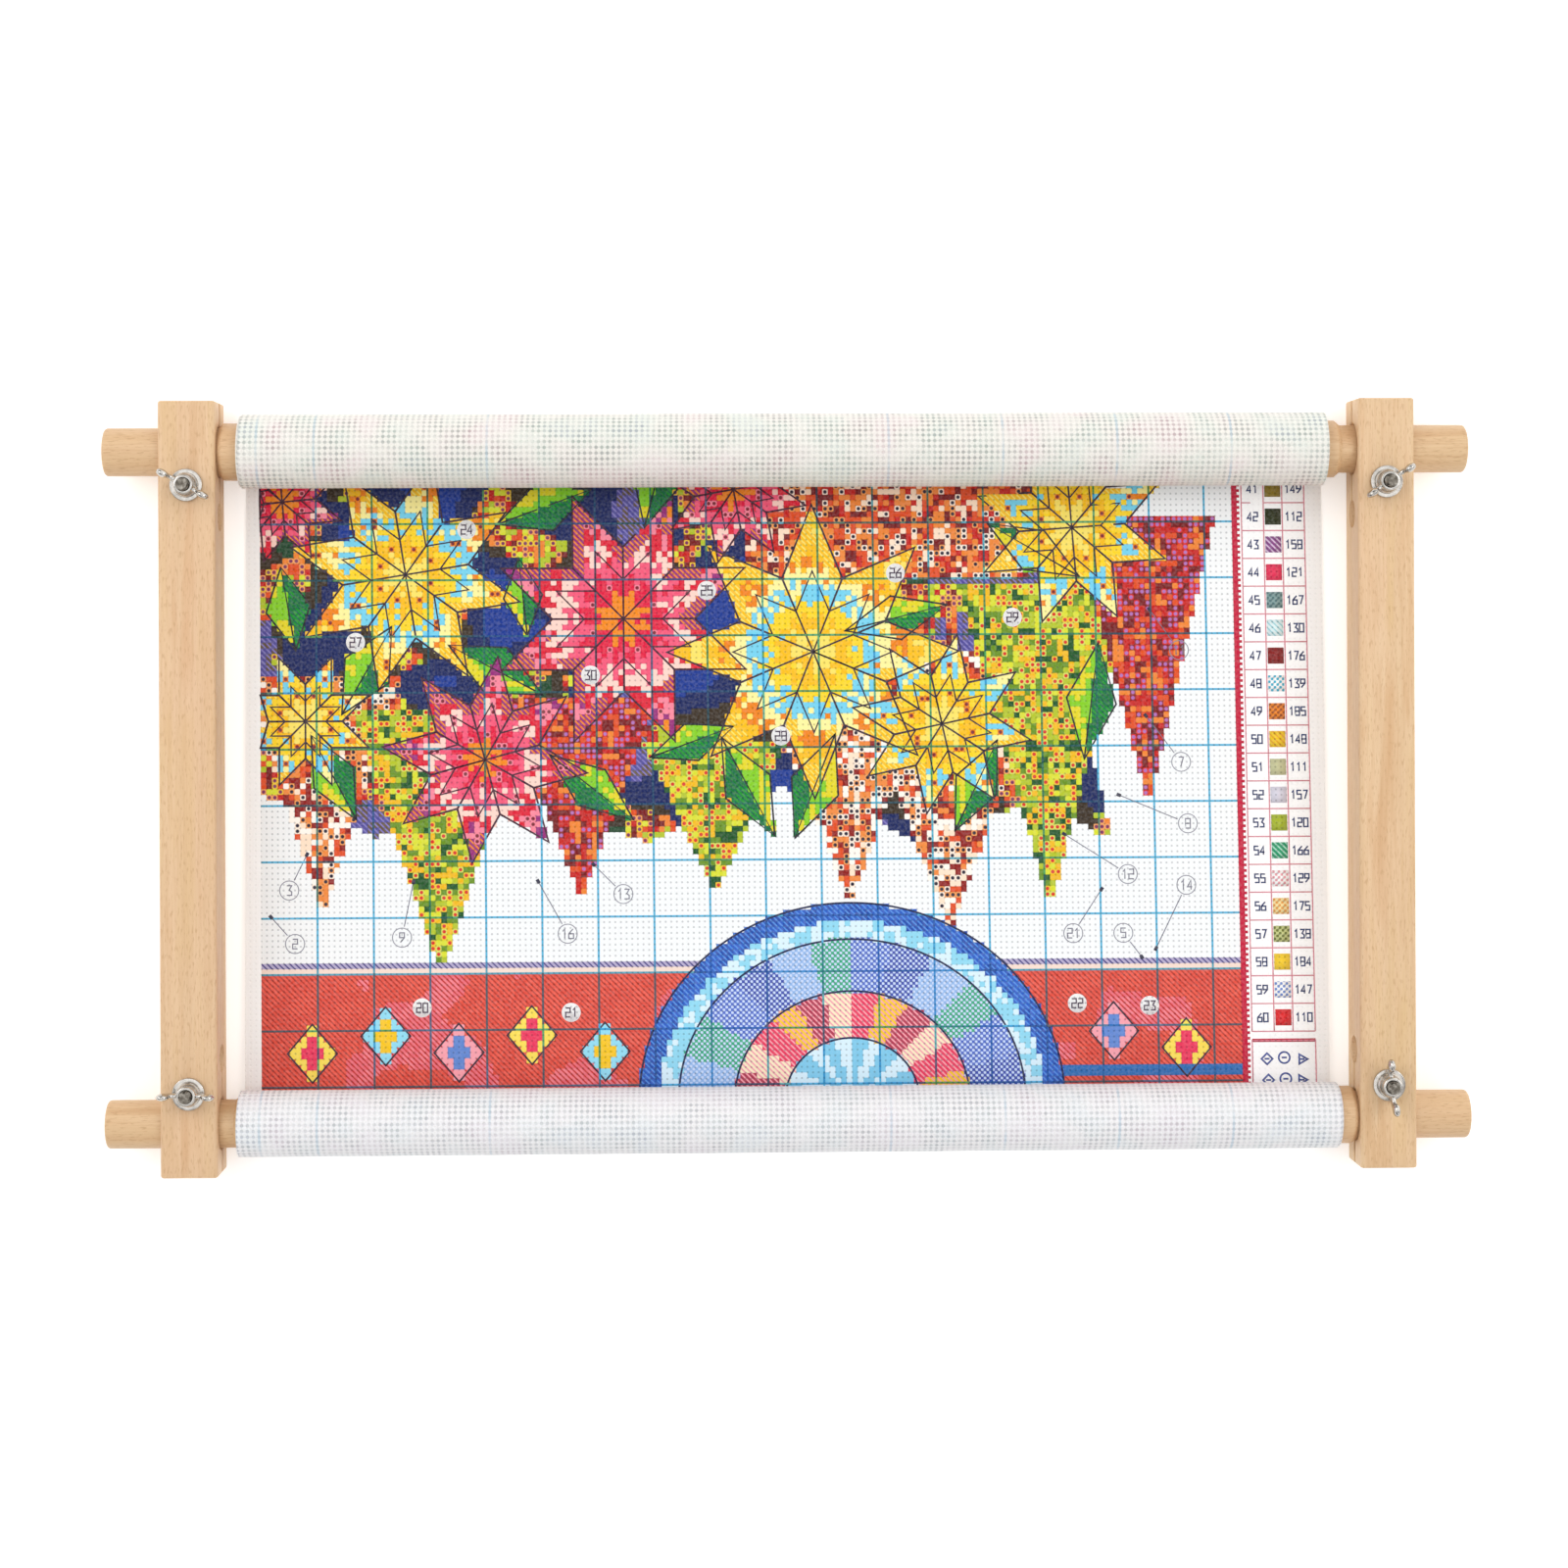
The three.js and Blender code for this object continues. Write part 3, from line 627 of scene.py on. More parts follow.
def wing(side, span, tipHeight):
    # A bar with a squared oval section follows a three-point curve, which leaves the hub low and sweeps up to
    # the ear. The ear is a flattened ball.
    ear = fastening["ear"] / 2
    tip = np.array([span / 2 - ear, tipHeight - ear])
    root = np.array([fastening["nutTop"] / 2 - fastening["wingRootIn"], fastening["nutHeight"] / 2])
    bend = np.array([tip[0] - fastening["wingSag"][0], root[1] - fastening["wingSag"][1]])
    t = np.linspace(0, 1, 16)[:, None]
    path = (1 - t) ** 2 * root + 2 * t * (1 - t) * bend + t ** 2 * tip
    way = np.gradient(path, axis=0)
    way /= np.linalg.norm(way, axis=1)[:, None]
    tall = sum(part * t ** power for power, part in enumerate(fastening["wingHeight"]))
    thick = fastening["wingThickness"] / 2 + fastening["wingSwell"] * t ** 3
    angle = np.linspace(0, 2 * math.pi, 24, endpoint=False)[None, :]
    up, over = (np.sign(part) * np.abs(part) ** 0.7 * size for part, size in (
        (np.sin(angle), tall), (np.cos(angle), thick)))
    x, z = path[:, :1] - way[:, 1:] * up, path[:, 1:] + way[:, :1] * up
    bar = surface("wing_bar", np.stack([side * x, over, z], axis=-1))
    down = np.linspace(0.02, math.pi - 0.02, 20)
    around = np.linspace(0, 2 * math.pi, 32, endpoint=False)
    lens = gridOfPoints(down, around, lambda u, v: (side * (tip[0] + ear * np.sin(u) * np.cos(v)),
                                                    fastening["earThickness"] / 2 * np.cos(u),
                                                    tip[1] + ear * np.sin(u) * np.sin(v)))
    return bar, surface("wing_ear", lens)


def wingNutShape():
    # Hub and wings go through a fine voxel skin and are smoothed, which leaves a cast nut's fillets.
    low, high, _ = boxOf("bottom_left_wing_nut")
    span, tall = high[0] - low[0], high[2] - low[2]
    base, top, height = fastening["nutBase"] / 2, fastening["nutTop"] / 2, fastening["nutHeight"]
    flange, rim, step = fastening["flangeHeight"], fastening["flangeRim"], fastening["flangeStep"]
    middle, lip = fastening["nutPole"], fastening["threadLead"]
    profile = [(0, middle), (0, base - rim), (rim, base), (flange * 0.6, base), (flange, base - step),
               (height - lip, top), (height, top - lip), (height, middle)]
    work = bmesh.new()
    for part in (revolve("hub", profile, "Z", (0, 0, 0), 64), *wing(1, span, tall), *wing(-1, span, tall)):
        work.from_mesh(part.data)
        bpy.data.objects.remove(part)
    mesh = bpy.data.meshes.new("wing_nut_shape")
    work.to_mesh(mesh)
    work.free()
    made = placed("wing_nut_shape", mesh)
    skin = made.modifiers.new("skin", "REMESH")
    skin.mode, skin.voxel_size = "VOXEL", fastening["voxel"]
    smooth = made.modifiers.new("smooth", "SMOOTH")
    smooth.factor, smooth.iterations = 0.5, 6
    finished(made)
    cut(made, revolve("cutter", [(z, fastening["washerHole"] / 2) for z in (-2 * mm, height + 2 * mm)],
                      "Z", (0, 0, 0), 48))
    return made


def wingNut(corner, shape):  # a copy of the shape, turned as that corner's nut stands
    name = corner + "_wing_nut"
    low, high, middle = boxOf(name)
    turn = Euler((0, 0, math.radians(wingAngles[corner]))).to_matrix().to_4x4()
    mesh = shape.data.copy()
    mesh.transform(Matrix.Translation((middle[0], middle[1], low[2])) @ turn)
    dress(placed(name + "_steel", mesh), platedSteel, name, "zinc_plated_steel", name)


nutShape = wingNutShape()
for corner in corners:
    carriageBolt(corner, corner.split("_")[1] + "_rail")
    washer(corner)
    wingNut(corner, nutShape)
bpy.data.objects.remove(nutShape)
print("fastenings made")

# Header tape and tacks keep their CAD shapes. The tape is cotton twill in slanting ribs, cream and matt.

twill = {
    "ribMm": 3.77,             # from rib to rib along the tape
    "hexes": ("#d8ccb2", "#ece3cf"),
    "relief": 0.1 * mm,
}


def twillTape():  # a slanting wave repeats every fifth of pi along an axis
    made, tree, shader = newMaterial("cotton_twill_tape", Roughness=0.95)
    scale = math.pi / 5 * 1000 / twill["ribMm"]
    ribs = addNode(tree, "TexWave", addNode(tree, "TexCoord", out="Object"), scale, 1,
                   wave_type="BANDS", bands_direction="DIAGONAL")
    coat(tree, shader, addNode(tree, "ValToRGB", ribs, stops=list(zip((0.2, 0.8), twill["hexes"]))), ribs,
         0.4, twill["relief"])
    return made


tapeCotton = twillTape()
for node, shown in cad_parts.items():
    if "header_tape" in node or "tape_tack" in node:
        shown.data.materials.clear()
        shown.data.materials.append(tapeCotton if "header_tape" in node else bluedSteel)

# Aida: cotton woven in square blocks with a hole at each corner, matt and slightly fuzzy

cloth = {
    "block": 2.22 * mm,        # 11 to the inch, a little shrunk
    "thickness": 0.4 * mm,
    "feather": 0.12 * mm,      # thickness at the ends, which lie hidden behind the rolls
    "clearance": 0.3 * mm,
    "bottomEdges": (-214.85 * mm, 214.85 * mm),
    "topEdges": (-213.5 * mm, 212.2 * mm),
    "lean": 0.011,             # share by which the weave is drawn in at the top
    "still": 3,                # the column of blocks that runs straight up
    "wrapDegrees": 35,
    "pucker": 0.14 * mm,
    "puckerReach": 30 * mm,
}
rollSizes = {
    "outerRadius": {"top": 14.695 * mm, "bottom": 13.147 * mm},
    "innerRadius": 11.5 * mm,
    "pitch": 0.62 * mm,
    "stepsPerTurn": 60,
    "edgeWander": 0.5 * mm,
    "lump": 0.1 * mm,
    "columns": 48,
    "leftEdge": 250 * mm,      # where the count of blocks along a roll starts, left of the middle
}
markKinds = {"plain": 0.0, "hatch": 0.25, "dot": 0.5, "check": 0.75, "bare": 1.0}  # a mark's alpha


def blockPlace(tree):  # the UV map counts blocks: the place on the cloth, and its two counts
    uv = addNode(tree, "UVMap", uv_map="blocks")
    across, along, _ = addNode(tree, "SeparateXYZ", uv).node.outputs
    return uv, across, along


def dotsAt(tree, uv, middle, radius):  # a soft round spot of that radius at the same place in every block
    moved = addNode(tree, "VectorMath", uv, (0.5 - middle, 0.5 - middle, 0), operation="ADD")
    part = addNode(tree, "VectorMath", moved, operation="FRACTION")
    away = addNode(tree, "VectorMath", part, (0.5, 0.5, 0), operation="SUBTRACT")
    flat = addNode(tree, "VectorMath", away, (1, 1, 0), operation="MULTIPLY")
    distance = addNode(tree, "VectorMath", flat, operation="LENGTH")
    return addNode(tree, "MapRange", distance, radius * 0.55, radius, 1.0, 0.0,
                   interpolation_type="SMOOTHSTEP")


def weaveHeight(tree, across, along, holes):  # four threads to a block each way, the higher of the two on top
    waves = [addNode(tree, "Math", addNode(tree, "Math", count, 8 * math.pi, operation="MULTIPLY"),
                     operation="COSINE") for count in (across, along)]
    upper = addNode(tree, "Math", *waves, operation="MAXIMUM")
    threads = addNode(tree, "Math", upper, 0.25, operation="MULTIPLY")
    sunk = addNode(tree, "Math", holes, 1.2, operation="MULTIPLY")
    return addNode(tree, "Math", threads, sunk, operation="SUBTRACT")


def clothShader(name):  # cotton has no gloss, and its fuzz catches a little light at a slant
    return newMaterial(name, Roughness=0.92, IOR=1.45, Sheen_Weight=0.1, Sheen_Roughness=0.6,
                       Specular_IOR_Level=0.3)


def rolledAida(name, ground, tints, least, most):
    # Bare white back; holes and block grooves get the print's tint and painted shade. Scales are per block.
    made, tree, shader = clothShader(name)
    uv, across, along = blockPlace(tree)
    holes = dotsAt(tree, uv, 0.0, 0.39)
    patches = addNode(tree, "TexNoise", uv, 0.12, Detail=1.5)
    moved = addNode(tree, "Mapping", Vector=uv, Location=(31, 7, 0))
    strength = addNode(tree, "TexNoise", moved, 0.18, Detail=2.5)
    corner = addNode(tree, "VectorMath", addNode(tree, "VectorMath", uv, (0.5, 0.5, 0), operation="ADD"),
                     operation="FLOOR")
    own = addNode(tree, "TexWhiteNoise", corner, noise_dimensions="2D")
    shown = addNode(tree, "Math", addNode(tree, "ValToRGB", strength, stops=((0.4, least), (0.6, most))),
                    addNode(tree, "ValToRGB", own, stops=((0.0, 0.7), (1.0, 1.0))), operation="MULTIPLY")
    threads = addNode(tree, "TexNoise", uv, 3.1, Detail=2)
    cotton = addNode(tree, "ValToRGB", patches, stops=list(zip((0.34, 0.5, 0.68), ground)))
    dull = addNode(tree, "ValToRGB", threads, stops=((0.35, 0.16), (0.6, 0.0)))
    colour = addNode(tree, "Mix", dull, cotton, linear("#b9b2a8"), data_type="RGBA")
    # Painted shade: the grooves between blocks and the holes are tinted darker, as shade in these recesses.
    groove = addNode(tree, "Math", *[addNode(tree, "Math", count, 0.5, operation="PINGPONG")
                                     for count in (across, along)], operation="MINIMUM")
    recessTintAndShade = addNode(tree, "Math", holes, addNode(tree, "ValToRGB", groove, stops=((0.04, 0.34), (0.2, 0.0))),
                   operation="MAXIMUM")
    tint = addNode(tree, "ValToRGB", patches, stops=list(zip((0.36, 0.44, 0.52, 0.6, 0.68), tints)))
    colour = addNode(tree, "Mix", addNode(tree, "Math", recessTintAndShade, shown, operation="MULTIPLY"), colour, tint,
                     data_type="RGBA")
    # A few of the front's ten-block lines show through too.
    tens = addNode(tree, "Math", addNode(tree, "Math", across, 0.1, operation="MULTIPLY"), operation="ROUND")
    chance = addNode(tree, "TexWhiteNoise", tens, noise_dimensions="1D")
    line = addNode(tree, "ValToRGB", addNode(tree, "Math", across, 5.0, operation="PINGPONG"),
                   stops=((0.1, 1.0), (0.3, 0.0)))
    for factor, stops in ((chance, ((0.7, 0.0), (0.8, 0.45))), (strength, ((0.4, 0.3), (0.55, 1.0)))):
        share = addNode(tree, "ValToRGB", factor, stops=stops)
        line = addNode(tree, "Math", line, share, operation="MULTIPLY")
    colour = addNode(tree, "Mix", line, colour, linear("#b4cfe2"), data_type="RGBA")
    coat(tree, shader, colour, weaveHeight(tree, across, along, holes), 0.6, 0.3 * mm)
    return made


def printedAida():
    # The printed side: each block holds an ink and its mark's ink, with the kind of mark as its alpha. Hatch
    # is a wave on the slant, a check the product of two waves and a dot a round spot.
    made, tree, shader = clothShader("printed_aida_cotton")
    uv, across, along = blockPlace(tree)
    holes = dotsAt(tree, uv, 0.0, 0.24)
    ink = addNode(tree, "Attribute", attribute_name="ink", out="Color")
    mark = addNode(tree, "Attribute", attribute_name="mark", out="Color")
    kindOf = mark.node.outputs["Alpha"]
    turns = [addNode(tree, "Math", count, 2 * math.pi, operation="MULTIPLY") for count in (
        addNode(tree, "Math", across, along, operation="ADD"), across, along)]
    slant = addNode(tree, "Math", turns[0], operation="COSINE")
    square = addNode(tree, "Math", *[addNode(tree, "Math", turn, operation="SINE") for turn in turns[1:]],
                     operation="MULTIPLY")
    figures = {"hatch": addNode(tree, "ValToRGB", slant, stops=((0.2, 0.0), (0.5, 1.0))),
               "dot": dotsAt(tree, uv, 0.5, 0.42),
               "check": addNode(tree, "ValToRGB", square, stops=((0.0, 0.0), (0.2, 1.0)))}
    amount = 0.0
    for kind, figure in figures.items():
        chosen = addNode(tree, "Math", kindOf, markKinds[kind], 0.1, operation="COMPARE")
        amount = addNode(tree, "Math", chosen, figure, amount, operation="MULTIPLY_ADD")
    drawn = addNode(tree, "Mix", amount, ink, mark, data_type="RGBA")
    wear = addNode(tree, "TexNoise", uv, 1.9, Detail=3)
    worn = addNode(tree, "Mix", addNode(tree, "ValToRGB", wear, stops=((0.4, 0.0), (0.75, 0.08))), drawn,
                   linear("#ffffff"), data_type="RGBA")
    bare = addNode(tree, "Math", kindOf, 0.9, operation="GREATER_THAN")
    strength = addNode(tree, "Math", bare, -0.39, 0.46, operation="MULTIPLY_ADD")  # less in bare cloth
    # Painted shade in the weave's holes: they are darkened towards #8f9198, less in the bare cloth.
    sunk = addNode(tree, "Mix", addNode(tree, "Math", holes, strength, operation="MULTIPLY"), worn,
                   linear("#8f9198"), data_type="RGBA", blend_type="MULTIPLY")
    coat(tree, shader, sunk, weaveHeight(tree, across, along, holes), 0.4, 0.18 * mm)
    return made


rolledCotton = {
    "top": rolledAida("white_aida_back_top_roll", ("#f5eeea", "#f4f1ea", "#edf0e8"),
                      ("#a8858b", "#938f8b", "#868a88", "#7e9187", "#838e9c"), 0.24, 0.68),
    "bottom": rolledAida("white_aida_back_bottom_roll", ("#f4f2f6", "#f5f4f6", "#f0f3f6"),
                         ("#a99aa6", "#9a9aa2", "#9396a0", "#919ba0", "#8e97a8"), 0.26, 0.6),
}
inkedAida = printedAida()


def layBlocks(mesh, uv):  # the UV map counts blocks, given by point and spread to the faces' corners
    index = np.zeros(len(mesh.loops), np.int32)
    mesh.loops.foreach_get("vertex_index", index)
    layer = mesh.uv_layers.new(name="blocks")
    layer.uv.foreach_set("vector", np.asarray(uv, np.float32).reshape(-1, 2)[index].ravel())


# Rolls: a strip wound in a spiral, its edges a little out of line from turn to turn


def clothRoll(row):
    # The radius falls by one pitch a turn from the outside inwards; each turn lies between its two faces.
    side, name = sideOf[row], row + "_cloth_roll"
    low, high, middle = boxOf(name)
    thickness, feather, wander = cloth["thickness"], cloth["feather"], rollSizes["edgeWander"]
    outer, pitch = rollSizes["outerRadius"][row] - thickness / 2, rollSizes["pitch"]
    turns = (outer - rollSizes["innerRadius"] - thickness / 2) / pitch
    turn = np.linspace(0, turns, int(turns * rollSizes["stepsPerTurn"]))[:, None]
    angle = -math.pi / 2 + math.radians(cloth["wrapDegrees"]) + 2 * math.pi * turn
    across = np.linspace(-0.5, 0.5, rollSizes["columns"])[None, :]
    x = middle[0] + across * (high[0] - low[0] - 2 * wander) + wander * np.sin(2.1 * turn + 1.3 * side)
    lump = rollSizes["lump"] * (np.sin(23 * across + 2.2 * turn) * np.cos(41 * across - angle) - 1) / 2
    edge = np.clip(np.minimum(turn, turns - turn) * rollSizes["stepsPerTurn"] / 4, 0, 1)
    half = (feather + (thickness - feather) * edge) / 2
    radius = outer - pitch * turn + lump
    spiral = radius[:, 0] * np.stack([np.cos(angle[:, 0]), np.sin(angle[:, 0])])
    along = np.concatenate([[0], np.cumsum(np.hypot(*np.diff(spiral, axis=1)))])[:, None]
    grids, uvs = [], []
    for face in (1, -1):
        r = radius + face * half
        spot = np.broadcast_arrays(x, axisY[row] + side * r * np.cos(angle), axisZ + r * np.sin(angle))
        count = np.broadcast_arrays((x + rollSizes["leftEdge"]) / cloth["block"], along / cloth["block"])
        grids.append(np.stack(spot, axis=-1)[:, ::face])
        uvs.append(np.stack(count, axis=-1)[:, ::face])
    made = surface(name + "_aida", np.concatenate(grids, axis=1))
    layBlocks(made.data, np.concatenate(uvs, axis=1))
    dress(made, rolledCotton[row], row + "_roller", "aida_cloth", name)


for row in ("top", "bottom"):
    clothRoll(row)

# Flat cloth: the line that touches both rolls' backs, with a short arc round each roll's outer side


def sheetPath():  # Y and Z up the cloth, from the arc round the bottom roll to the one round the top
    span = axisY["top"] - axisY["bottom"]
    radii = [rollSizes["outerRadius"][row] + cloth["clearance"] for row in ("bottom", "top")]
    touch = -math.pi / 2 - math.asin((radii[1] - radii[0]) / span)
    wrap = math.radians(cloth["wrapDegrees"])
    turns = [np.linspace(touch - wrap, touch, 9), np.linspace(touch, touch + wrap, 9)]
    arcs = [np.stack([axisY[row] + radius * np.cos(a), axisZ + radius * np.sin(a)], axis=-1)
            for row, radius, a in zip(("bottom", "top"), radii, turns)]
    points = np.concatenate([arcs[0], np.linspace(arcs[0][-1], arcs[1][0], 400)[1:-1], arcs[1]])
    return points, np.concatenate([[0], np.cumsum(np.linalg.norm(np.diff(points, axis=0), axis=1))])


pathPoints, pathAlong = sheetPath()
blocksUp = float(pathAlong[-1]) / cloth["block"]


def drawnIn(v):  # the weave's width at that height, as a share of its width at the lower end
    return 1 - cloth["lean"] * np.asarray(v, float) / blocksUp


def edgesAt(v):  # the cloth's left and right edges, in blocks, at that many blocks from its lower end
    y = np.interp(np.asarray(v, float) * cloth["block"], pathAlong, pathPoints[:, 0])
    up = np.clip((y - axisY["bottom"]) / (axisY["top"] - axisY["bottom"]), 0, 1)
    sides = [low * (1 - up) + high * up for low, high in zip(cloth["bottomEdges"], cloth["topEdges"])]
    return [cloth["still"] + ((side - cloth["bottomEdges"][0]) / cloth["block"] - cloth["still"]) / drawnIn(v)
            for side in sides]


def clothPlace(u, v, lift):
    # Place u blocks from the cloth's lower left corner and v up its length, lifted off the printed face. The
    # puckers are two waves across the width that fade with the distance from each roll.
    along = np.asarray(v, float) * cloth["block"]
    y, z = (np.interp(along, pathAlong, pathPoints[:, k]) for k in (0, 1))
    way = np.gradient(pathPoints, axis=0)
    way /= np.linalg.norm(way, axis=1)[:, None]
    out = -np.interp(along, pathAlong, way[:, 1]), np.interp(along, pathAlong, way[:, 0])
    blocks = cloth["still"] + (np.asarray(u, float) - cloth["still"]) * drawnIn(v)
    x = cloth["bottomEdges"][0] + blocks * cloth["block"]
    near = sum(np.exp(-((y - axisY[row]) / cloth["puckerReach"]) ** 2) for row in ("top", "bottom"))
    wave = near * (np.sin(x * 310 + 3 * y) + 0.6 * np.sin(x * 173 - 1)) / 1.6 * (np.abs(out[0]) < 0.05)
    away = lift + cloth["pucker"] * (wave - 1)
    return np.stack(np.broadcast_arrays(x, y + out[0] * away, z + out[1] * away), axis=-1)


# Printed design, block by block: patchwork stars and kites over bunting, a half-round fan and a red band

columns, rows = 191, int(blocksUp)  # whole blocks; what is left at the right edge and the top stays white
blockU, blockV = np.meshgrid(np.arange(columns) + 0.5, np.arange(rows) + 0.5)
inks, marks = np.ones((rows, columns, 3)), np.zeros((rows, columns, 4))
dice = np.random.default_rng(11)
picture = {"left": 3, "right": 178, "bandTop": 29, "tableLeft": 179.8, "tableRight": 191.2}
pictured = (blockU > picture["left"]) & (blockU < picture["right"])
outlines, discs, discNumbers = [], [], []  # lines to print: points and width in blocks, and ink


def lay(mask, shades, index=None, mark=None, kind="plain"):
    # Colours a mask's blocks in one shade, or in several by index. The mark is a small figure in each block.
    table = np.array([linear(shade)[:3] for shade in shades])
    inks[mask] = table[0] if index is None else table[index[mask] % len(shades)]
    marks[mask] = [*(linear(mark)[:3] if mark else (0, 0, 0)), markKinds[kind]]


def draw(points, width, ink, layer=outlines):  # notes a line for the films
    layer.append((np.asarray(points, float), width, ink))


def clumped(count, share=0.5):  # an index per block below the count, that share of them common to two by two
    fine = dice.random((rows, columns))
    clump = np.kron(dice.random((rows // 2 + 1, columns // 2 + 1)), np.ones((2, 2)))[:rows, :columns]
    return (np.where(dice.random((rows, columns)) < share, clump, fine) * count).astype(int)


def blotches(size):  # a smooth field from 0 to 1 that varies over about that many blocks
    nodes = dice.random((int(rows / size) + 2, int(columns / size) + 2))
    spread = np.array([np.interp(blockU[0] / size, np.arange(nodes.shape[1]), line) for line in nodes])
    return np.array([np.interp(blockV[:, 0] / size, np.arange(nodes.shape[0]), line) for line in spread.T]).T


def confetti(mask, shades, dots, dotShare, dotInk="#1a1430"):
    # Shades scattered by chance over a mask, and some of its blocks in another shade with a dot.
    lay(mask, shades, clumped(len(shades)))
    spotted = mask & (dice.random((rows, columns)) < dotShare)
    lay(spotted, dots, clumped(len(dots), 0.2), dotInk, "dot")


def withinPicture(points):  # what reaches past the picture's edge is drawn back to it
    return np.clip(points, (picture["left"], 0), (picture["right"], rows))


def star(u, v, side, shades, turn, across, line):
    # Eight rhombi about a middle. Steps p and q along a rhombus's sides number its small diamonds in rings.
    half = math.pi / 8
    local = ((np.arctan2(blockV - v, blockU - u) - math.radians(turn)) % (2 * half)) - half
    reach = np.hypot(blockU - u, blockV - v)
    ahead, beside = reach * np.cos(local) / math.cos(half) / 2, reach * np.sin(local) / math.sin(half) / 2
    p, q = ahead + beside, ahead - beside
    inside = (p < side) & (q < side) & pictured
    ring = (np.floor(p / side * across) + np.floor(q / side * across)).astype(int)
    lay(inside, shades, ring)
    lay(inside & (clumped(len(shades)) == 0), shades, ring + 1)
    ends = inside & (np.maximum(p, q) > side * 0.78) & (blotches(4) > 0.55)
    lay(ends, shades[-1:], mark=shades[0], kind="hatch")
    lay(inside & (np.abs(p - q) < 1.3) & (ring % 2 == 1), shades[-2:-1], mark="#7a1f2c", kind="dot")
    for share, width in ((1.0, 0.36), (0.55, 0.28)):
        for k in range(8):
            a = math.radians(turn) + 2 * half * k
            spokes = ((0, a), (share * side, a), (2 * share * side * math.cos(half), a + half),
                      (share * side, a + 2 * half), (0, a))
            draw(withinPicture([(u + r * math.cos(b), v + r * math.sin(b)) for r, b in spokes]), width, line)


def kite(u, v, length, width, turn, shades, mark):
    # A long diamond, where the shares of its half length and half width add up to less than one. It is split
    # down its middle: one half light, one half dark and hatched.
    a = math.radians(turn)
    x = (blockU - u) * math.cos(a) + (blockV - v) * math.sin(a)
    y = (blockV - v) * math.cos(a) - (blockU - u) * math.sin(a)
    reach = np.abs(x) / length * 2 + np.abs(y) / width * 2
    lay((reach < 1) & (y >= 0) & pictured, shades[:2], clumped(2, 0.8))
    lay((reach < 1) & (y < 0) & pictured, shades[2:], clumped(2, 0.8), mark, "hatch")
    lay((reach < 0.45) & (y >= 0) & pictured, shades[:1])
    tips = [(length / 2, 0), (0, width / 2), (-length / 2, 0), (0, -width / 2)]
    draw(withinPicture([(u + s * math.cos(a) - t * math.sin(a), v + s * math.sin(a) + t * math.cos(a))
                        for s, t in tips + tips[::2]]), *layout["kiteLine"])


def pennant(u, top, width, drop):  # a hanging triangle with stepped sides
    return (blockV < top) & (np.abs(blockU - u) < width / 2 * (blockV - top + drop) / drop) & pictured


palette = {
    "yellow": ["#f8e064", "#f6bd02", "#fad41c", "#74d0ec", "#fcf09c", "#ec8206", "#f6bd02"],
    "rose": ["#f08810", "#e01440", "#f05678", "#fbd3c6", "#dc1634", "#f4859a", "#962878"],
    "green": ["#84cc1c", "#e2d41c", "#12922c", "#0a7634"],
    "spray": ["#b2c224", "#d8dc2e", "#68901a", "#eeb80a", "#14541f"],
    "ember": ["#c41812", "#781014", "#dd4c16", "#ec842e"],
    "spice": ["#ec883a", "#fbe0c6", "#dd4c1a", "#8e1612", "#fdf4ea"],
    "night": ["#12368f", "#10215c", "#382a1a", "#184628"],
}
pennants = {  # kind: dots, share of blocks with a dot, and the dot's ink
    "spice": (["#fbe9d8", "#f2a05a"], 0.3, "#1a1430"),
    "spray": (["#f0c52e", "#d9dd62"], 0.3, "#d5271f"),
    "ember": (["#d5271f", "#8c1b1f"], 0.35, "#b070b8"),
}
layout = {  # in blocks, with angles in degrees
    "pennants": (  # middle, top, width and drop
        (14, 82, 28, 43), (35, 76, 32, 47), (60, 78, 28, 36), (126, 86, 38, 50), (144, 98, 32, 58),
        (162, 110, 26, 52), (108, 74, 26, 33), (84, 70, 26, 27),
    ),
    "kites": (  # middle, length, width and turn
        (54, 112, 18, 9, 20), (62, 62, 19, 8, -38), (22, 83, 18, 9, 60), (45, 83, 19, 9, 152),
        (90, 62, 20, 9, -62), (102, 62, 20, 9, -112), (117, 92, 19, 8, 14), (142, 104, 19, 8, 150),
        (74, 116, 16, 8, 75), (152, 77, 21, 9, 82), (16, 64, 17, 8, 118), (131, 62, 18, 8, 64),
        (8, 94, 15, 8, 100), (50, 96, 14, 7, 96), (80, 70, 16, 7, 20),
    ),
    "stars": (  # kind, middle, side of a rhombus, turn and diamonds along a side
        ("yellow", 29, 100, 11.4, 9, 4), ("rose", 68, 92, 12.8, 0, 4), ("yellow", 102, 86, 14.2, 22.5, 5),
        ("yellow", 11, 74, 6.6, 0, 3), ("yellow", 125, 73, 8.8, 12, 3), ("rose", 43, 67, 10, 15, 4),
        ("yellow", 149, 108, 9.6, 4, 3), ("rose", 88, 115, 7.2, 10, 3), ("rose", 7, 113, 6, 5, 3),
    ),
    "starLines": {"yellow": "#3a2a3c", "rose": "#4a2036"},
    "kiteLine": (0.32, "#2a2b33"),
}
bandSizes = {
    "diamond": (4.4, 5.2),  # half its width and half its height
    "middles": range(12, 176, 13),
    "heights": (15, 18),  # every other diamond stands higher
    "clearOfFan": 42,
    "stripe": (10, 11.6, 142),  # its lower edge, upper edge and left end
}
fan = {"u": 108, "v": 6, "radii": (38, 34.5, 31, 21, 12), "squash": 1.08, "wedgeDegrees": 15}


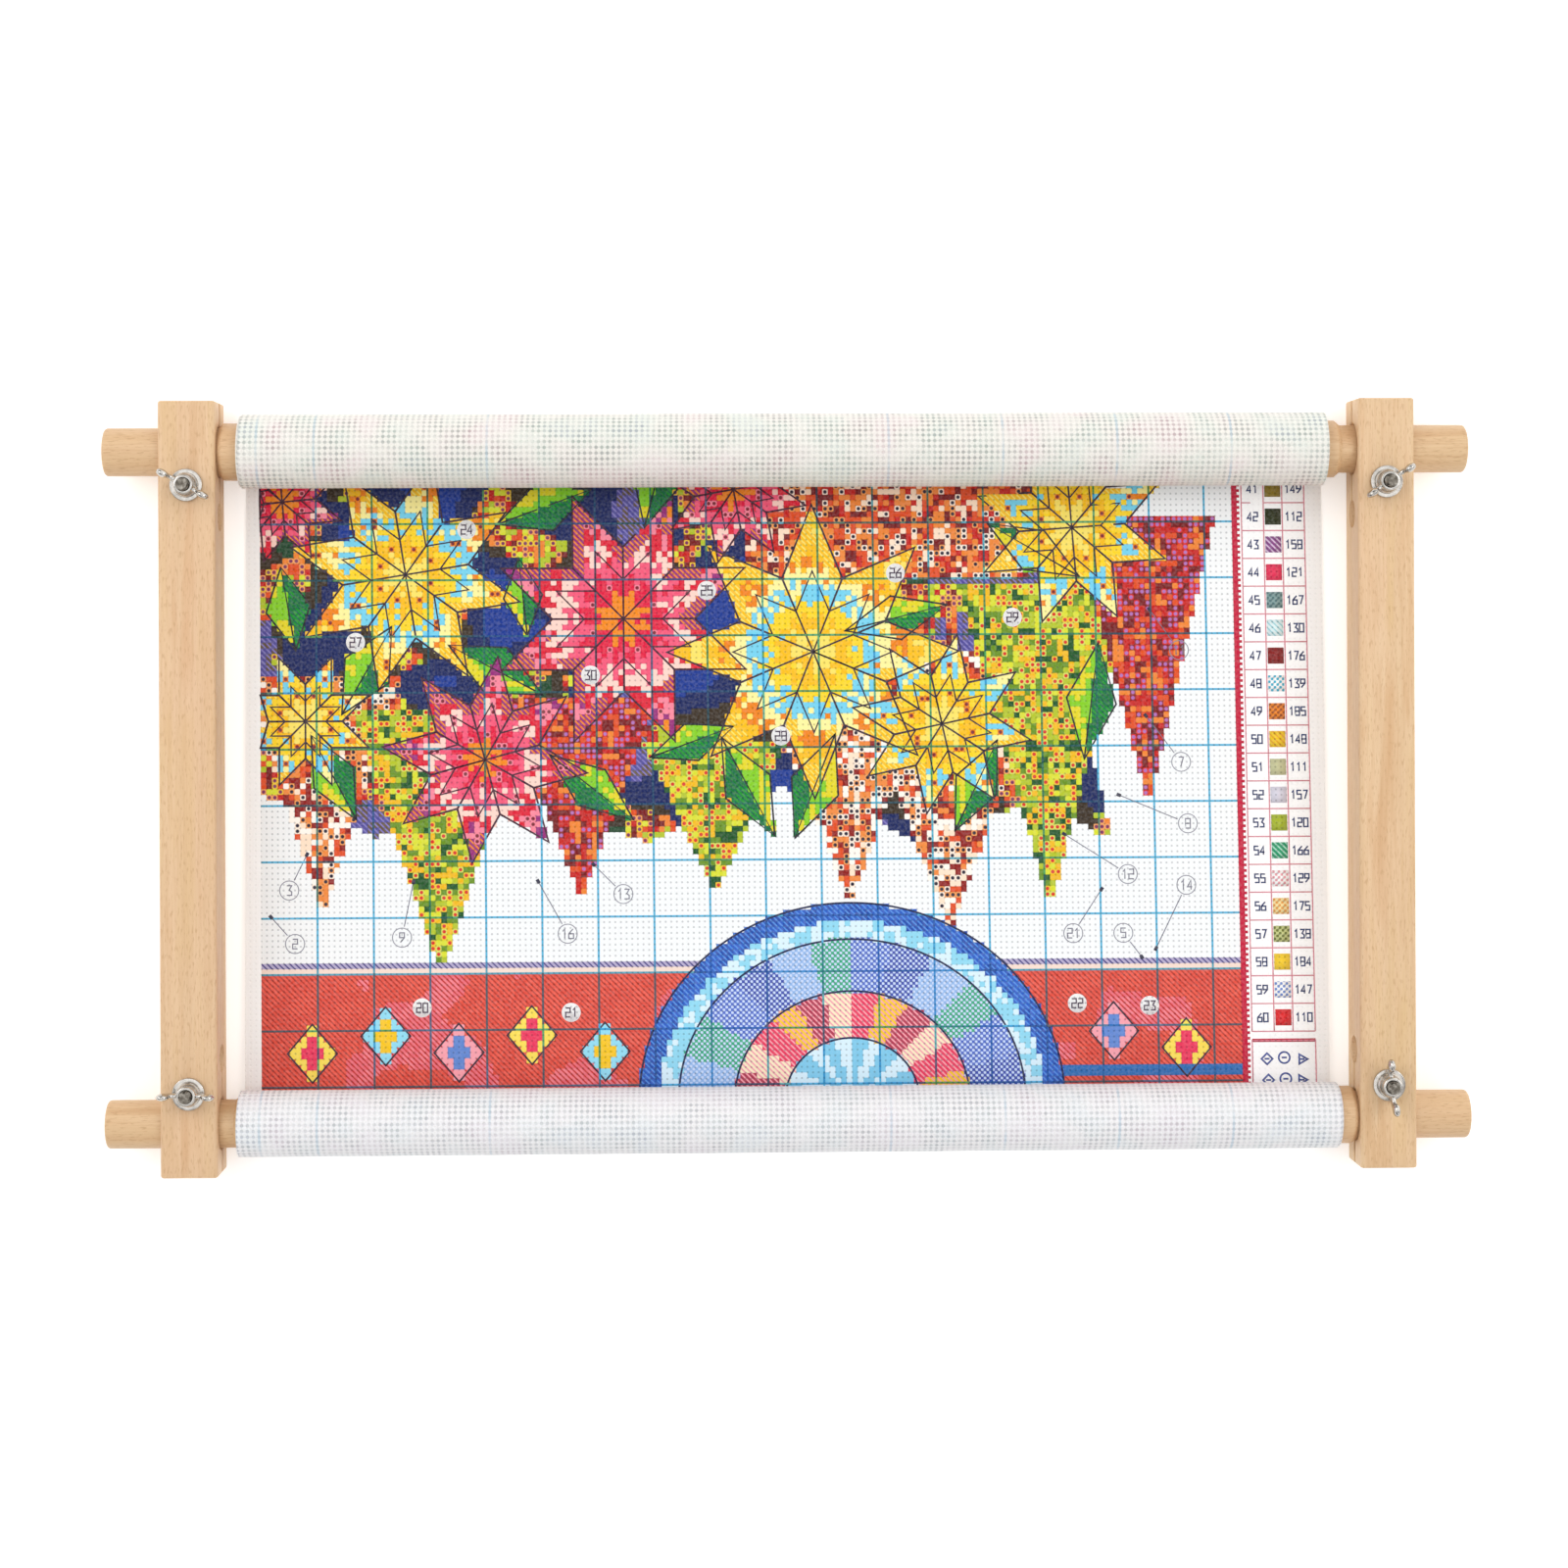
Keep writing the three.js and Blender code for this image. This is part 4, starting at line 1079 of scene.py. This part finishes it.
def drawPicture():
    # Night ground above a zigzag hem, bunting over it, and then the kites and the stars.
    patch, drift = blotches(9), blotches(14)
    hem = 50 + 10 * np.abs((blockU / 24) % 2 - 1) + 4 * drift - np.maximum(0, blockU - 132) * 0.25
    ground = pictured & (blockV > hem) & (blockU < 150 + 9 * patch)
    lay(ground, palette["night"], (patch * 4).astype(int))
    lay(ground & (drift > 0.68), ["#4d4894", "#604d3a"], clumped(2), "#8178bc", "hatch")
    scattered = ground & (patch > 0.5) & (blotches(5) > 0.5)
    confetti(scattered, palette["ember"] + palette["spray"][:2], ["#f0c52e", "#f2a05a"], 0.3, "#7a2a5c")
    for index, hung in enumerate(layout["pennants"]):
        kind = list(pennants)[index % len(pennants)]
        confetti(pennant(*hung), palette[kind], *pennants[kind])
    upper = pictured & (blockV > 99) & (blockU > 90) & (blockU < 138 + 6 * patch)
    confetti(upper, palette["ember"] + palette["spice"][:3], ["#f2a05a", "#fbe9d8"], 0.25)
    for flown in layout["kites"]:
        kite(*flown, palette["green"], "#0f6a4c")
    for kind, u, v, side, turn, across in layout["stars"]:
        star(u, v, side, palette[kind], turn, across, layout["starLines"][kind])


def drawBand():
    # Red ground under two thin borders, with small diamonds where the sum of two shares is less than one.
    top, half = picture["bandTop"], np.array(bandSizes["diamond"])
    low, high, left = bandSizes["stripe"]
    band = pictured & (blockV < top)
    lay(band, ["#e85a48", "#e05040"], clumped(2, 0.8), "#bc3c32", "hatch")
    lay(band & (blotches(7) > 0.64), ["#ec7f8b", "#e56c7a"], clumped(2, 0.7), "#c8332c", "hatch")
    lay(pictured & (blockV > top) & (blockV < top + 1), ["#f2d9cc"])
    lay(pictured & (blockV > top + 1) & (blockV < top + 2), ["#b4aacb"], mark="#4c4484", kind="hatch")
    for k, u in enumerate(bandSizes["middles"]):
        lift = bandSizes["heights"][k % 2]
        away = np.abs(blockU - u) / half[0] + np.abs(blockV - lift) / half[1]
        if abs(u - fan["u"]) > bandSizes["clearOfFan"]:
            lay(band & (away < 1), [("#f6dc54", "#8fdaf0", "#f3a0ac")[k % 3]])
            lay(band & (away < 0.6), [("#e7335b", "#f4c614", "#5f86cf")[k % 3]])
            draw(half * ((1, 0), (0, 1), (-1, 0), (0, -1), (1, 0)) + (u, lift), 0.3, "#3a2a3c")
    lay(pictured & (blockV > low) & (blockV < high) & (blockU > left), ["#2c6fb5"])


def drawFan():
    # A half-round fan about a middle near the lower edge: radius gives the ring and angle the wedge.
    u, v = fan["u"], fan["v"]
    reach = np.hypot(blockU - u, (blockV - v) * fan["squash"])
    wedge = (np.degrees(np.arctan2(blockV - v, blockU - u)) / fan["wedgeDegrees"]).astype(int)
    rings = [reach < radius for radius in fan["radii"]]
    lay(rings[0], ["#1d4aa8", "#2a5cc0"], clumped(2, 0.8), "#4f8bdc", "hatch")
    lay(rings[1], ["#8fd6ee", "#d8effa"], clumped(2, 0.6))
    lay(rings[2], ["#3b4fae", "#4f6cc8", "#35a880", "#8fb4e6"], wedge, "#c9d8f4", "check")
    lay(rings[3], ["#f4c614", "#e7335b", "#f7e7c4", "#b0304c"], wedge, "#f3a0ac", "hatch")
    lay(rings[4], ["#d8effa", "#7fc8e8"], wedge)
    turn = np.radians(np.linspace(-10, 190, 80))
    for size in fan["radii"][:1] + fan["radii"][2:]:
        ring = np.stack([u + size * np.cos(turn), v + size / fan["squash"] * np.sin(turn)], axis=-1)
        draw(ring, 0.34, "#1c2450")


lay(~pictured, ["#ffffff"], kind="bare")
lay(pictured, ["#f3f5f6"])  # printed ground, a trace off the margin's white
drawPicture()
drawBand()
drawFan()
lay((blockU > picture["right"]) & (blockU < picture["right"] + 1), ["#c3163c"])


def paintFaces(mesh, faceInks, faceMarks):  # each face's ink and mark, spread to its corners
    count = np.zeros(len(mesh.polygons), np.int32)
    mesh.polygons.foreach_get("loop_total", count)
    for name, values in (("ink", faceInks), ("mark", faceMarks)):
        whole = np.ones((len(count), 4), np.float32)
        whole[:len(values), :values.shape[-1]] = values
        layer = mesh.color_attributes.new(name, "FLOAT_COLOR", "CORNER")
        layer.data.foreach_set("color", np.repeat(whole, count, axis=0).ravel())


def flatCloth():
    # One quad to a block on the printed face, and the same again on the back, closed round the edges.
    vs = np.append(np.arange(rows + 1), blocksUp)
    us = np.broadcast_to(np.arange(columns + 1.0), (len(vs), columns + 1)).copy()
    us[:, 0], rightEdge = edgesAt(vs)
    u = np.concatenate([us, rightEdge[:, None]], axis=1)
    v = np.broadcast_to(vs[:, None], u.shape)
    ends = np.clip(np.minimum(v, blocksUp - v) / 3, 0, 1)
    thickness = cloth["feather"] + (cloth["thickness"] - cloth["feather"]) * ends
    front, back = clothPlace(u, v, 0.0), clothPlace(u, v, -thickness)
    uv = np.stack([u, v], axis=-1)
    made = surface("stretched_aida_cloth", np.concatenate([front, back[:, ::-1]], axis=1))
    layBlocks(made.data, np.concatenate([uv, uv[:, ::-1]], axis=1))
    wide = u.shape[1]
    faceInks = np.ones((rows + 1, 2 * wide, 3))
    faceMarks = np.zeros((rows + 1, 2 * wide, 4))
    faceMarks[:, :wide, 3] = markKinds["bare"]
    faceInks[:rows, :columns], faceMarks[:rows, :columns] = inks, marks
    faceInks[:rows, wide + 1:wide + 1 + columns] = 0.86 + 0.14 * inks[:, ::-1]  # faint on the back
    paintFaces(made.data, faceInks.reshape(-1, 3), faceMarks.reshape(-1, 4))
    dress(made, inkedAida, "left_rail", "aida_cloth", "cloth_sheet")
    return made


flatAida = flatCloth()
print("flat cloth printed,", columns, "by", rows, "blocks")

# Printed lines and key: thin films on the cloth, with the numbers drawn as strokes

printed = {
    "lift": 0.05 * mm,
    "step": 0.002 * mm,        # from each line to the next, so that crossing ones don't share a height
    "steps": 9,
    "discLift": 0.075 * mm,
    "numberLift": 0.09 * mm,
    "sunk": 0.08 * mm,
    "gridWidth": 0.36,         # widths and heights of figures are in blocks
    "gridHex": "#5cbfe6",
    "numberHex": "#33406e",
    "figure": 1.5,
    "stroke": 0.26,
    "spacing": 2.9,            # from one figure to the next, in steps of the strokes' grid
}
strokes = {  # each figure's strokes on a grid two wide and four high
    "0": [(0, 0), (2, 0), (2, 4), (0, 4), (0, 0)],
    "1": [(0.4, 3), (1.2, 4), (1.2, 0)],
    "2": [(0, 4), (2, 4), (2, 2), (0, 2), (0, 0), (2, 0)],
    "3": [(0, 4), (2, 4), (1, 2.2), (2, 1.4), (2, 0), (0, 0)],
    "4": [(1.5, 0), (1.5, 4), (0, 1.2), (2, 1.2)],
    "5": [(2, 4), (0, 4), (0, 2.2), (2, 2.2), (2, 0), (0, 0)],
    "6": [(1.8, 4), (0, 2), (0, 0), (2, 0), (2, 2), (0, 2)],
    "7": [(0, 4), (2, 4), (0.8, 0)],
    "8": [(0, 0), (2, 0), (2, 4), (0, 4), (0, 0), (0, 2), (2, 2)],
    "9": [(0.3, 0), (2, 2), (2, 4), (0, 4), (0, 2), (2, 2)],
}


def number(value, u, v, height=printed["figure"], ink=printed["numberHex"], bold=printed["stroke"],
           layer=outlines):
    # Draws each figure's strokes beside the last one's, the whole centred on the place.
    step = height / 4
    for place, figure in enumerate(str(value)):
        left = u + (place - len(str(value)) / 2) * step * printed["spacing"] + step * 0.45
        draw(np.array(strokes[figure], float) * step + (left, v - height / 2), bold, ink, layer)


def ringOf(u, v, radius, sides=24):  # a closed ring, or with few sides a small square or triangle
    turn = np.linspace(0, 2 * math.pi, sides + 1)
    return np.stack([u + radius * np.cos(turn), v + radius * np.sin(turn)], axis=-1)


pointer = {  # in blocks
    "ring": (1.7, 0.16, "#8f8f9c"),   # radius, width and ink
    "figure": (1.7, "#7d7d8c", 0.2),  # height, ink and width
    "line": (2, 0.16, "#77778a"),     # its start from the ring's middle, width and ink
    "tip": (0.8, 0.6, "#33334a"),     # length, width and ink
}


def note(u, v, value, tip):  # a number in a ring, with a thin pointer to the picture
    (radius, *ring), (start, *line), (length, *end) = pointer["ring"], pointer["line"], pointer["tip"]
    draw(ringOf(u, v, radius), *ring)
    number(value, u, v, *pointer["figure"])
    spot, tip = np.array((u, v)), np.array(tip, float)
    way = (tip - spot) / np.linalg.norm(tip - spot)
    draw([spot + way * start, tip], *line)
    draw([tip, tip + way * length], *end)


def film(name, points, quads, places, faceInks, faceMarks):
    # One mesh of closed strips or patches, in the printed cloth's finish and with its count of blocks.
    made = meshFrom(name, np.concatenate(points), quads)
    layBlocks(made.data, np.concatenate(places))
    paintFaces(made.data, faceInks, faceMarks)
    made.data.materials.append(inkedAida)
    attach(made, "left_rail")
    return made


def filmStrips():
    # Each line becomes a strip with a square section, lifted off the cloth, its sides mitred at the bends.
    points, quads, places, colours, start = [], [], [], [], 0
    films = [(printed["lift"] + printed["step"] * (index % printed["steps"]), line)
             for index, line in enumerate(outlines)]
    films += [(printed["discLift"], line) for line in discs]
    films += [(printed["numberLift"], line) for line in discNumbers]
    for lift, (line, width, shade) in films:
        pieces = np.diff(line, axis=0)
        pieces /= np.maximum(np.linalg.norm(pieces, axis=1), 1e-9)[:, None]
        inward, outward = np.concatenate([pieces[:1], pieces]), np.concatenate([pieces, pieces[-1:]])
        if np.allclose(line[0], line[-1]):
            inward[0], outward[-1] = pieces[-1], pieces[0]
        across = inward + outward
        across /= np.maximum(np.linalg.norm(across, axis=1), 1e-9)[:, None]
        across = np.stack([-across[:, 1], across[:, 0]], axis=-1)
        normal = np.stack([-inward[:, 1], inward[:, 0]], axis=-1)
        mitre = np.clip(np.sum(across * normal, axis=1), 0.5, 1)
        across *= (width / 2 / mitre)[:, None]
        rim = [(line + sign * across, height) for sign, height in (
            (1, lift), (-1, lift), (-1, -printed["sunk"]), (1, -printed["sunk"]))]
        points.append(np.stack([clothPlace(*side.T, height) for side, height in rim], axis=1).reshape(-1, 3))
        places.append(np.stack([side for side, _ in rim], axis=1).reshape(-1, 2))
        last = 4 * len(line) - 1
        quads.append(gridQuads(len(line), 4, False, True) + start)
        quads.append(np.array([[0, 1, 2, 3], [last, last - 1, last - 2, last - 3]]) + start)
        tones = np.array([linear(shade)[:3]] * (len(line) - 1)) if isinstance(shade, str) else shade
        colours += [np.repeat(tones, 4, axis=0), tones[[0, -1]]]
        start += 4 * len(line)
    colours = np.concatenate(colours)
    return film("printed_lines", points, np.concatenate(quads), places, colours, np.zeros((len(colours), 4)))


def gridLines():
    # A light blue line every ten blocks over the picture; like any print it darkens the ink that it crosses.
    left, right, width = picture["left"], picture["right"], printed["gridWidth"]
    over = np.array(linear(printed["gridHex"])[:3]) * (0.12 + 0.88 * inks)
    for u in range(left + 10, right, 10):
        draw(np.stack([np.full(rows + 1, u), np.arange(rows + 1)], axis=-1), width, over[:, u])
    for v in range(9, rows, 10):
        us = np.arange(left, right + 1)
        draw(np.stack([us, np.full(len(us), v)], axis=-1), width, over[v, left:right])


keySwatches = [  # hex, mark's hex and kind, from the lowest row upwards
    ("#e0242a", None, "plain"), ("#ffffff", "#6f8fd4", "check"), ("#f6cf2a", None, "plain"),
    ("#c9cf8a", "#6f7a34", "check"), ("#f8e3a4", "#e8a04a", "check"), ("#ffffff", "#e6a0a8", "check"),
    ("#1f9a6a", "#a8e0c8", "hatch"), ("#a9b92c", None, "plain"), ("#d9d6e4", None, "plain"),
    ("#c7c79a", None, "plain"), ("#f4cc1c", "#e8a81c", "hatch"), ("#ef8a2a", "#a8541c", "check"),
    ("#ffffff", "#3fb4d4", "check"), ("#8c1c1c", None, "plain"), ("#e4f6f8", "#a8dce4", "hatch"),
    ("#86a4a4", "#54787c", "check"), ("#e8305a", None, "plain"), ("#8a4a8c", "#e0c4e4", "hatch"),
    ("#2f3618", None, "plain"), ("#8a7418", None, "plain"), ("#5a7ac0", None, "plain"),
]
key = {  # in blocks
    "pitch": 4.98,
    "lowest": 17.7,
    "uprights": (0, 4, 7.4, picture["tableRight"] - picture["tableLeft"]),
    "swatch": 1.45,            # half its side
    "ruled": (0.22, "#dd8c9a"),
    "footGap": 1.6,
    "foot": 5,
    "figures": ((182.4, 12.8), (185.5, 13), (188.7, 12.7), (182.6, 9), (185.7, 9.2), (188.6, 9)),
    "figureSides": (4, 24, 3),
    "figureLine": (0.32, "#4a5a9c"),
    "redHex": "#c3163c",
    "rowNumber": 60,           # of the lowest row
    "counts": (110, 37, 83),   # the least count, and the step and the span of those above it
}


def keyTable():
    # Rows of just under five blocks between two edges: a row number, a swatch and a plain count.
    left, right, pitch, lowest = picture["tableLeft"], picture["tableRight"], key["pitch"], key["lowest"]
    uprights, (least, step, span) = [left + u for u in key["uprights"]], key["counts"]
    for u in uprights:
        vs = np.linspace(lowest, lowest + pitch * len(keySwatches), 40)
        draw(np.stack([np.full(len(vs), u), vs], axis=-1), *key["ruled"])
    patches = []
    for index, swatch in enumerate(keySwatches):
        v = lowest + pitch * index
        draw([(left, v), (right, v)], *key["ruled"])
        number(key["rowNumber"] - index, left + 2, v + pitch / 2)
        number(least + (index * step) % span, (uprights[2] + right) / 2, v + pitch / 2)
        patches.append(((uprights[1] + uprights[2]) / 2, v + pitch / 2, *swatch))
    edge, foot = lowest - key["footGap"], key["foot"]
    draw([(left, edge), (right, edge)], 0.6, key["redHex"])
    draw([(left, foot), (right, foot), (right, edge), (left, edge), (left, foot)], *key["ruled"])
    for index, (u, v) in enumerate(key["figures"]):  # small plain figures below the key
        draw(ringOf(u, v, 1.0, key["figureSides"][index % 3]), *key["figureLine"])
        draw([(u - 0.45, v), (u + 0.45, v)], *key["figureLine"])
    for v in np.arange(0.5, rows, 1.0):
        draw([(picture["right"] + 1, v), (picture["right"] + 1.45, v)], 0.5, key["redHex"])
    return patches


def swatchFilm(patches):
    # Square films of four points above and four below, each with its own ink and mark.
    half, corner = key["swatch"], np.array([(-1, -1), (1, -1), (1, 1), (-1, 1)])
    points, places, faceInks, faceMarks = [], [], [], []
    for u, v, shade, mark, kind in patches:
        square = corner * half + (u, v)
        points += [clothPlace(*square.T, lift) for lift in (printed["lift"], -printed["sunk"])]
        places += [square, square]
        faceInks += [linear(shade)[:3]] * 6
        faceMarks += [[*(linear(mark)[:3] if mark else (0, 0, 0)), markKinds[kind]]] * 6
    box = np.array([(0, 1, 2, 3), (7, 6, 5, 4), (0, 4, 5, 1), (1, 5, 6, 2), (2, 6, 7, 3), (3, 7, 4, 0)])
    quads = (box[None] + 8 * np.arange(len(patches))[:, None, None]).reshape(-1, 4)
    return film("printed_patches", points, quads, places, np.array(faceInks), np.array(faceMarks))


disc = {"radius": 1.7, "hex": "#ffffff", "firstNumber": 20, "figure": (1.6, "#4c3a50", 0.24)}
numbered = [  # middles of the white discs, in blocks
    (31.5, 23), (58, 22), (148.5, 23), (161.5, 22.5), (40, 108), (83, 97), (117, 100), (20, 88), (96, 71),
    (138, 92), (62, 82),
]
notes = [  # place, number and the pointer's tip
    (168, 66, 7, (162, 74)), (169, 55, 8, (157, 60)), (158, 46, 12, (147, 53)), (168.5, 44, 14, (163, 33)),
    (157, 35.5, 5, (160, 31.5)), (28, 35.5, 9, (30, 45)), (8, 44, 3, (11, 50)), (57.5, 36, 16, (52.5, 45)),
    (168, 86, 11, (163, 93)), (148, 35.5, 21, (153, 43)), (9, 34.5, 2, (5, 39)), (67.5, 43, 13, (62.5, 48)),
]
gridLines()
patches = keyTable()
for index, (u, v) in enumerate(numbered):  # a ring at half the radius, wide enough to fill the disc
    draw(ringOf(u, v, disc["radius"] / 2), disc["radius"], disc["hex"], discs)
    number(disc["firstNumber"] + index, u, v, *disc["figure"], discNumbers)
for place in notes:
    note(*place)
lines, swatches = filmStrips(), swatchFilm(patches)
print("printed lines and key laid,", len(outlines), "lines")
